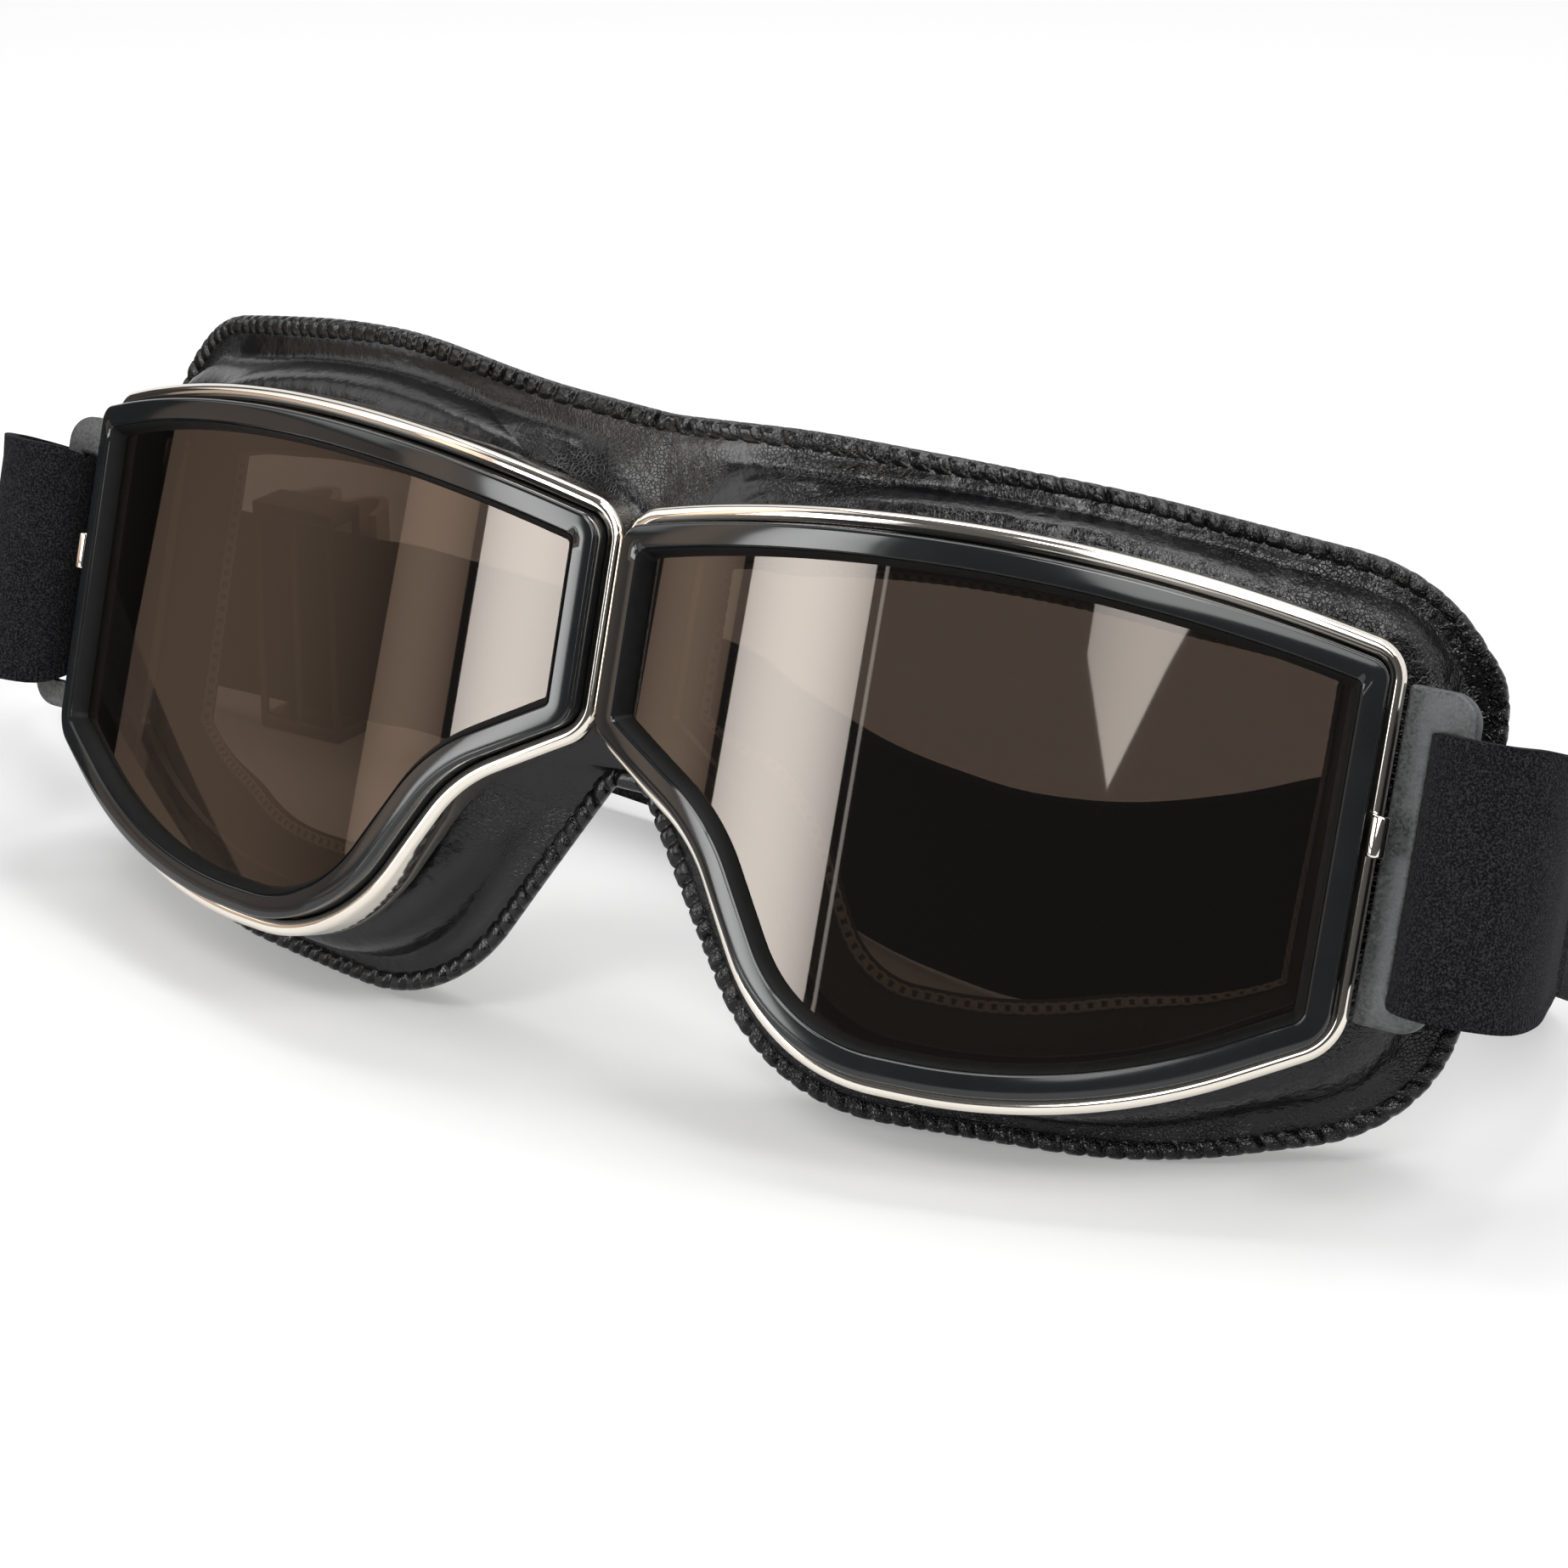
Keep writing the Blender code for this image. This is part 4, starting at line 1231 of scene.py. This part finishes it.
SLOT_AT = Vector((BRACKET_EDGE + SLOT_INSET + SLOT_WIDTH / 2, BRACKET_FRONT + BRACKET_THICKNESS / 2))
print(f"the strap's slot is {SLOT_WIDTH * 1000:.1f} by {SLOT_HEIGHT * 1000:.1f} mm")


# %% Boxes, cuts and edges
def box(name, low, high):
    """A box between two corners."""
    low, high = Vector(low), Vector(high)
    bpy.ops.object.select_all(action="DESELECT")
    bpy.ops.mesh.primitive_cube_add(size=1.0, location=(low + high) / 2)
    made = bpy.context.object
    made.name = made.data.name = name
    made.scale = high - low
    bpy.ops.object.transform_apply(location=True, rotation=True, scale=True)
    return made


def cut(piece, low, high):
    """Take a box out of a piece."""
    cutter = box("cutter", low, high)
    modify(piece, "BOOLEAN", operation="DIFFERENCE", object=cutter, solver="EXACT")
    bpy.data.objects.remove(cutter)


def break_edges(piece, width, segments, degrees=50.0):
    """Round off the edges that are sharper than this."""
    limit = math.radians(degrees)
    modify(piece, "BEVEL", width=width, segments=segments, limit_method="ANGLE", angle_limit=limit)


def select_edges(piece, wanted):
    """Select the edges whose two ends pass a test."""
    points = piece.data.vertices
    select_none(piece)
    for line in piece.data.edges:
        line.select = all(wanted(points[index].co) for index in line.vertices)


def bevel_edges(piece, wanted, width, segments):
    """Bevel only the edges whose two ends pass a test."""
    only(piece)
    bpy.ops.object.mode_set(mode="EDIT")
    bpy.ops.mesh.select_mode(type="EDGE")
    bpy.ops.object.mode_set(mode="OBJECT")
    select_edges(piece, wanted)
    bpy.ops.object.mode_set(mode="EDIT")
    bpy.ops.mesh.bevel(offset=width, segments=segments, affect="EDGES")
    bpy.ops.mesh.select_mode(type="VERT")
    bpy.ops.object.mode_set(mode="OBJECT")


# %% Brackets
def bracket():
    outer = BRACKET_EDGE + BRACKET_WIDTH
    plate = box(
        "right_bracket_plate", (BRACKET_EDGE, BRACKET_FRONT, BRACKET_BOTTOM),
        (outer, BRACKET_FRONT + BRACKET_THICKNESS, BRACKET_TOP),
    )
    for height in (BRACKET_TOP, BRACKET_BOTTOM):
        def at_corner(point):
            return point.x > outer - 1e-5 and abs(point.z - height) < 1e-5

        bevel_edges(plate, at_corner, BRACKET_RADIUS, 10)
    half = Vector((SLOT_WIDTH / 2, BRACKET_THICKNESS, SLOT_HEIGHT / 2))
    middle = Vector((SLOT_AT.x, SLOT_AT.y, SLOT_HEIGHT_AT))
    cut(plate, middle - half, middle + half)
    break_edges(plate, BRACKET_BREAK, 3)
    smooth(plate, 35.0)
    return plate


on_both_eyes(bracket(), "strap_bracket", gray_paint)

# %% Clips
CLIP_RADIUS = 0.0010
CLIP_HEIGHT = 0.0040
CLIP_AT = 0.0055
CLIP_BREAK = 0.00025


def clip():
    place = eye_point(BEZEL_WIDTH - BEZEL_LIP / 4, CLIP_AT, -BEZEL_BEAD - FIT - CLIP_RADIUS)
    bpy.ops.object.select_all(action="DESELECT")
    bpy.ops.mesh.primitive_cylinder_add(vertices=28, radius=CLIP_RADIUS, depth=CLIP_HEIGHT, location=place)
    barrel = bpy.context.object
    barrel.name = barrel.data.name = "right_clip_barrel"
    bpy.ops.object.transform_apply(location=True, rotation=True, scale=True)
    break_edges(barrel, CLIP_BREAK, 3)
    smooth(barrel, 35.0)
    return barrel


on_both_eyes(clip(), "bezel_clip", chrome)

# %% [markdown]
# ## Elastic strap
# One flat elastic goes round each bracket's outer bar, where its tail is sewn back, and lies in a loose
# bow behind the goggles. A curve with a bevel would twist where the band turns from the leaning brackets
# to the flat table. So the route is a list of knots, each with its own lean, a smooth line is drawn
# through them, and a section with thicker rolled edges is laid along it.

# %% The strap's way
STRAP_STEP = 0.0011
STRAP_ROWS = 24
SLIDER_AT = -0.086
SLIDER_ROW = 0.0625
SLIDER_WALL = 0.0018
STRAP_RUN = 0.0105
STRAP_LOOP = [
    (0.0078, 0.0190), (0.0070, 0.0135), (0.0045, 0.0085), (0.0012, 0.0040), (0.0, 0.0),
    (0.0010, -0.0034), (0.0046, -0.0052), (0.0086, -0.0040), (0.0110, -0.0004), (0.0112, 0.0050),
    (0.0094, 0.0120), (0.0072, 0.0195),
]
# How much wider the elastic spreads at each of these knots, once it is past the slot
STRAP_FULLER = (0.0, 0.0, 0.0, 0.0, 0.3, 0.9, 1.0, 1.0, 1.0, 0.7, 0.2, 0.0)
STRAP_SPREAD = 0.17
# The section: thickness of its flat part, and of the rolls beside it, as shares
STRAP_FLAT = 0.80
STRAP_ROLL = 0.28
STRAP_ROLL_AT = STRAP_EDGE * 0.6
STRAP_ROLL_WIDTH = STRAP_EDGE * 0.5
STRAP_ROUND = 0.0007
STRAP_WAY = [
    (0.0870, 0.0485, 0.0098), (0.0815, 0.0585, 0.0050), (0.0745, 0.0660, 0.0014), (0.0665, 0.0680, 0.0001),
    (0.0595, 0.0650, 0.0001), (0.0535, 0.0580, 0.0001), (0.0480, 0.0485, 0.0001), (0.0400, 0.0402, 0.0001),
    (0.0300, 0.0368, 0.0001), (0.0200, 0.0380, 0.0001), (0.0080, 0.0418, 0.0001), (-0.0085, 0.0505, 0.0002),
    (-0.0240, 0.0578, 0.0010),
]
STRAP_RETURN = [
    (-0.1140, 0.0595, 0.0045), (-0.1150, 0.0525, 0.0085), (-0.1085, 0.0450, 0.0125),
]
SLIDER_RUN = (2, 1, 0, -1, -2)


def strap_knots():
    """Knots of the strap's middle on the table. The fourth number is 0 where it stands upright, 1 where it
    leans with the brackets, and more where it spreads as well."""
    right = []
    for out, back in STRAP_LOOP:
        right.append(STANDING @ Vector((SLOT_AT.x + out, SLOT_AT.y + back, SLOT_HEIGHT_AT)))
    knots = [(*point, 1.0 + fuller) for point, fuller in zip(right, STRAP_FULLER)]
    middle = STRAP_WIDTH / 2
    way = [(x, y, middle + lift) for x, y, lift in STRAP_WAY]
    way += [(SLIDER_AT + k * STRAP_RUN, SLIDER_ROW, middle + FIT + SLIDER_WALL) for k in SLIDER_RUN]
    way += [(x, y, middle + lift) for x, y, lift in STRAP_RETURN]
    knots += [(*(Vector(point) + TABLE_ORIGIN), 0.0) for point in way]
    left = [(2 * fold.x - x, y, z, width) for x, y, z, width in knots[:len(right)]]
    knots += reversed(left)
    return [Vector(knot) for knot in knots]


# %% The strap's line and section
def smooth_line(knots, step):
    """Points about a step apart on the smooth curve through the knots."""
    points = []
    for i in range(len(knots) - 1):
        a, b = knots[i], knots[i + 1]
        before = knots[i - 1] if i else a * 2 - b
        after = knots[i + 2] if i + 2 < len(knots) else b * 2 - a
        count = max(1, round((b - a).xyz.length / step))
        for k in range(count):
            t = k / count
            points.append(0.5 * (
                2 * a + (b - before) * t + (2 * before - 5 * a + 4 * b - after) * t * t
                + (3 * a - before - 3 * b + after) * t ** 3
            ))
    points.append(knots[-1])
    return points


def strap_section():
    """Half widths and heights round the band: flat faces and fuller rolled edges."""
    section = []
    half = STRAP_ROWS // 2
    for row in range(STRAP_ROWS):
        face = 1.0 if row < half else -1.0
        share = (row % half + 0.5) / half * 2 - 1
        high = face * share * STRAP_WIDTH / 2
        inside = STRAP_WIDTH / 2 - abs(high)
        thick = STRAP_FLAT + STRAP_ROLL * bell(inside, STRAP_ROLL_AT, STRAP_ROLL_WIDTH)
        thick *= min(1.0, (inside / STRAP_ROUND) ** 0.5)
        section.append((face * STRAP_THICKNESS / 2 * thick, high))
    return section


# %% Strap
def strap():
    line = smooth_line(strap_knots(), STRAP_STEP)
    section = strap_section()

    def place(column, row):
        point = line[column]
        along = (line[min(column + 1, len(line) - 1)] - line[max(column - 1, 0)]).xyz.normalized()
        tilt = lean * min(max(point.w, 0.0), 1.0)
        up = Vector((0.0, math.sin(tilt), math.cos(tilt)))
        up = (up - along * up.dot(along)).normalized()
        across, high = section[row % STRAP_ROWS]
        spread = 1 + STRAP_SPREAD * max(point.w - 1.0, 0.0)
        return point.xyz + along.cross(up) * across + up * high * spread

    made = band("elastic_band", len(line) - 1, STRAP_ROWS, place)
    length = sum((b - a).xyz.length for a, b in zip(line, line[1:]))
    for loop in made.data.uv_layers.active.data:
        loop.uv = (loop.uv[0] * length, loop.uv[1] * 2 * STRAP_WIDTH)
    edit(made, merge, cap_ends, outwards)
    smooth(made, 70.0)
    made.data.materials.append(elastic)
    print(f"strap {length * 1000:.0f} mm")
    return made


elastic_band = strap()
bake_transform(elastic_band)
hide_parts("elastic_strap")

# %% [markdown]
# ## Slider
# The slider is a flat metal ladder round the strap, so its length can be set. It is seen only dimly
# through a lens, so its form is a guess. A box is cut through for the strap, and then cut again from the
# front for the two windows between its bars. The elastic's free end is woven through it and stands in two
# waves behind the strap. It is a short band, and it rides on the slider.

# %% Slider
slider_low, slider_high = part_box("strap_slider")
SLIDER_BAR = 0.0010
SLIDER_PLATE = 0.0007
SLIDER_BREAK = 0.0003
# How far a cut starts outside the ladder
CLEAR = 0.001


def slider():
    ladder = box("slider_ladder", slider_low, slider_high)
    wall = Vector((-CLEAR, SLIDER_PLATE, SLIDER_WALL))
    cut(ladder, slider_low + wall, slider_high - wall)
    window = (slider_high.x - slider_low.x - 3 * SLIDER_BAR) / 2
    for start in (slider_low.x + SLIDER_BAR, slider_low.x + 2 * SLIDER_BAR + window):
        cut(
            ladder, (start, slider_low.y - CLEAR, slider_low.z + SLIDER_WALL),
            (start + window, slider_high.y + CLEAR, slider_high.z - SLIDER_WALL),
        )
    break_edges(ladder, SLIDER_BREAK, 2)
    smooth(ladder, 35.0)
    ladder.data.materials.append(dark_steel)
    return ladder


slider_ladder = slider()
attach(slider_ladder, "slider")
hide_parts("strap_slider")
print(slider_ladder.name, len(slider_ladder.data.polygons), "faces")

# %% Waves of the free end
WAVE_LENGTH = 0.0072
WAVE_BACK = 0.0062
WAVE_FROM = -0.0066
WAVE_LIFT = 0.0010
WAVE_STEPS = 36
WAVE_THICKNESS = 0.0011
WAVE_ROUNDNESS = 0.8
WAVE_CORNERS = ((0.5, -0.5), (0.5, 0.5), (-0.5, 0.5), (-0.5, -0.5))


def wave_line():
    """The free end's way in plan, from the slider to its cut end."""
    middle = (slider_low + slider_high) / 2
    line = []
    for k in range(WAVE_STEPS + 1):
        share = 2 * k / WAVE_STEPS
        bow = abs(math.sin(math.pi * share)) ** WAVE_ROUNDNESS
        way = middle.x + WAVE_FROM + share * WAVE_LENGTH
        line.append(Vector((way, slider_high.y + bow * WAVE_BACK, middle.z + WAVE_LIFT)))
    return line


def free_end():
    line = wave_line()
    upright = Vector((0.0, 0.0, 1.0))

    def place(column, row):
        along = (line[min(column + 1, WAVE_STEPS)] - line[max(column - 1, 0)]).normalized()
        across, high = WAVE_CORNERS[row % 4]
        return line[column] + along.cross(upright) * across * WAVE_THICKNESS + upright * high * STRAP_WIDTH

    made = band("elastic_free_end", WAVE_STEPS, 4, place)
    edit(made, merge, cap_ends, outwards)
    break_edges(made, SLIDER_BREAK, 2, 60.0)
    smooth(made, 50.0)
    made.data.materials.append(pale_free_end)
    return made


elastic_free_end = free_end()
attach(elastic_free_end, "slider")
print(elastic_free_end.name, len(elastic_free_end.data.polygons), "faces")

# %% [markdown]
# ## Studio
# The photo has a white table that runs out into a white surround. To keep it white while black stays
# black, the table glows a little by itself, and the surround gives the goggles less than half the light
# that it shows to the camera and to mirrors. Four soft lamps then model the leather's folds.

# %% Table
TABLE_SIZE = 8.0
TABLE_UNDER = 0.0001
TABLE_GLOW = 0.27
bpy.ops.object.select_all(action="DESELECT")
bpy.ops.mesh.primitive_plane_add(size=TABLE_SIZE, location=(0.0, 0.0, -TABLE_UNDER))
table = bpy.context.object
table.name = "table_top"
paper = Finish("white_table", {
    "Base Color": (0.80, 0.80, 0.80, 1.0), "Roughness": 0.9, "Specular IOR Level": 0.1,
    "Emission Color": (1.0, 1.0, 1.0, 1.0), "Emission Strength": TABLE_GLOW,
})
table.data.materials.append(paper.material)
print(table.name, TABLE_SIZE, "m")


# %% Surround
GIVEN = 0.40
SHOWN = 1.00


class Surround(Finish):
    """The world's node tree."""

    def __init__(self, world):
        world.use_nodes = True
        self.tree = world.node_tree
        self.shader = self.tree.nodes["Background"]


def surround():
    """White all round, as bright as GIVEN to what it lights and as SHOWN to what sees it."""
    world = bpy.context.scene.world or bpy.data.worlds.new("surround")
    bpy.context.scene.world = world
    sky = Surround(world)
    kinds = ("Camera", "Glossy", "Transmission")
    camera_ray, glossy_ray, through_ray = (
        sky.node("ShaderNodeLightPath", {}, {}, f"Is {kind} Ray") for kind in kinds
    )
    seen = camera_ray.largest(glossy_ray).largest(through_ray)
    sky.feed(sky.shader, {"Color": (1.0, 1.0, 1.0, 1.0), "Strength": GIVEN + seen * (SHOWN - GIVEN)})
    print("surround", GIVEN, "to", SHOWN)


surround()


# %% Lamps
def lamp(name, place, aim, size, power):
    """A soft oblong lamp that faces a point."""
    bpy.ops.object.select_all(action="DESELECT")
    away = Vector(place) - Vector(aim)
    bpy.ops.object.light_add(type="AREA", location=place, rotation=away.to_track_quat("Z", "Y").to_euler())
    made = bpy.context.object
    made.name = name
    made.data.shape = "RECTANGLE"
    made.data.size, made.data.size_y = size
    made.data.energy = power
    print(name, power, "W")


GOGGLES = (0.0, 0.0, 0.03)
RIGHT_EYE = (0.05, 0.0, 0.03)
lamp("top_lamp", (-0.10, 0.25, 0.9), GOGGLES, (0.7, 0.35), 3.6)
lamp("left_lamp", (-0.9, -0.5, 0.7), GOGGLES, (0.5, 0.8), 1.4)
lamp("front_lamp", (0.25, -0.75, 0.95), GOGGLES, (0.35, 0.25), 2.6)
lamp("right_lamp", (0.75, -0.15, 0.8), RIGHT_EYE, (0.25, 0.5), 2.4)

# %% [markdown]
# ## What the shiny pieces mirror
# Lenses, chrome and gaskets show the room in front of them. A picture of a room could be wrapped round the
# scene, but then its windows could not be moved. So the room is built from cards: a dark one all round
# the front and a dark ceiling, bright strips and panels before them, and a bright panel overhead for the
# leather's glints. Each is a patch of a sphere round the goggles, given by its columns of (azimuth,
# lowest, highest) in degrees, and only mirrors see it. Where a patch would sink into the table it lies on
# it instead.

# %% Cards
CARD_ROWS = 12
CARD_MIDDLE = Vector((0.01, -0.02, 0.04))
CARD_OVER_TABLE = 0.002
# Where a card is brightest across its width, and how fast it dims to both sides
CARD_BRIGHTEST = 0.45
CARD_DIMS = 1.6
WHITE = (1.0, 1.0, 1.0)
BROWN = (1.0, 0.78, 0.63)


def card(name, distance, brightness, columns, tint=WHITE):
    """A patch of a sphere that glows a little less towards its two sides."""

    def place(column, row):
        azimuth, low, high = columns[column]
        rise = math.radians(low + (high - low) * row / CARD_ROWS)
        turn = math.radians(azimuth)
        aim = Vector((math.sin(turn) * math.cos(rise), -math.cos(turn) * math.cos(rise), math.sin(rise)))
        reach = (CARD_OVER_TABLE - CARD_MIDDLE.z) / aim.z if aim.z < -0.001 else distance
        return CARD_MIDDLE + aim * min(reach, distance)

    made = band(name, len(columns) - 1, CARD_ROWS, place)
    glow = Finish(name, {
        "Base Color": (0.0, 0.0, 0.0, 1.0), "Specular IOR Level": 0.0, "Emission Strength": brightness,
    })
    aside = glow.node("ShaderNodeSeparateXYZ", {}, {0: glow.place("UV")}) - CARD_BRIGHTEST
    share = 1 - aside * aside * CARD_DIMS
    glow.feed(glow.shader, {"Emission Color": glow.colour(share, (0.0, 0.0, 0.0), tint)})
    made.data.materials.append(glow.material)
    made.visible_camera = made.visible_diffuse = made.visible_shadow = made.visible_transmission = False
    print(name, f"{distance} m away, brightness {brightness}")


def patch(first, last, count, low, high):
    """Columns of a patch that is as high all along, between two azimuths."""
    return [(first + (last - first) * k / count, low, high) for k in range(count + 1)]


card("dark_room", 1.40, 0.11, patch(-110, 80, 19, -8.0, 62.0))
card("dark_ceiling", 1.40, 0.16, patch(-180, 180, 24, 62.0, 89.0))
card("veil", 0.46, 0.66, patch(-84, -47, 8, -16.0, 11.0), BROWN)
card("dark_left", 0.46, 0.05, patch(-110, -84, 5, -16.0, 11.0))
card("left_panel", 1.32, 1.3, patch(-95, -47, 6, 12.5, 62.0))
card("side_strip", 1.28, 1.7, patch(-47, -33.5, 4, -4.0, 36.0), BROWN)
card("main_strip", 1.26, 9.0, patch(-32, -13, 6, -4.0, 30.0))
card("strip_edge", 1.26, 2.5, patch(-11.7, -11.1, 2, -4.0, 30.0))
card("right_panel", 1.26, 5.0, [
    (11.2, 12.6, 62.0), (14.3, 10.3, 62.0), (17.5, 12.2, 62.0), (33.0, 19.0, 62.0), (50.0, 22.0, 62.0),
])
card("sky_panel", 1.20, 6.5, patch(20, 130, 11, 60.0, 84.0))

# %% [markdown]
# ## Colour view
# The Standard view shows colours as they are lit, so they can be held against the photo.

# %% Finish
bpy.context.scene.view_settings.view_transform = "Standard"
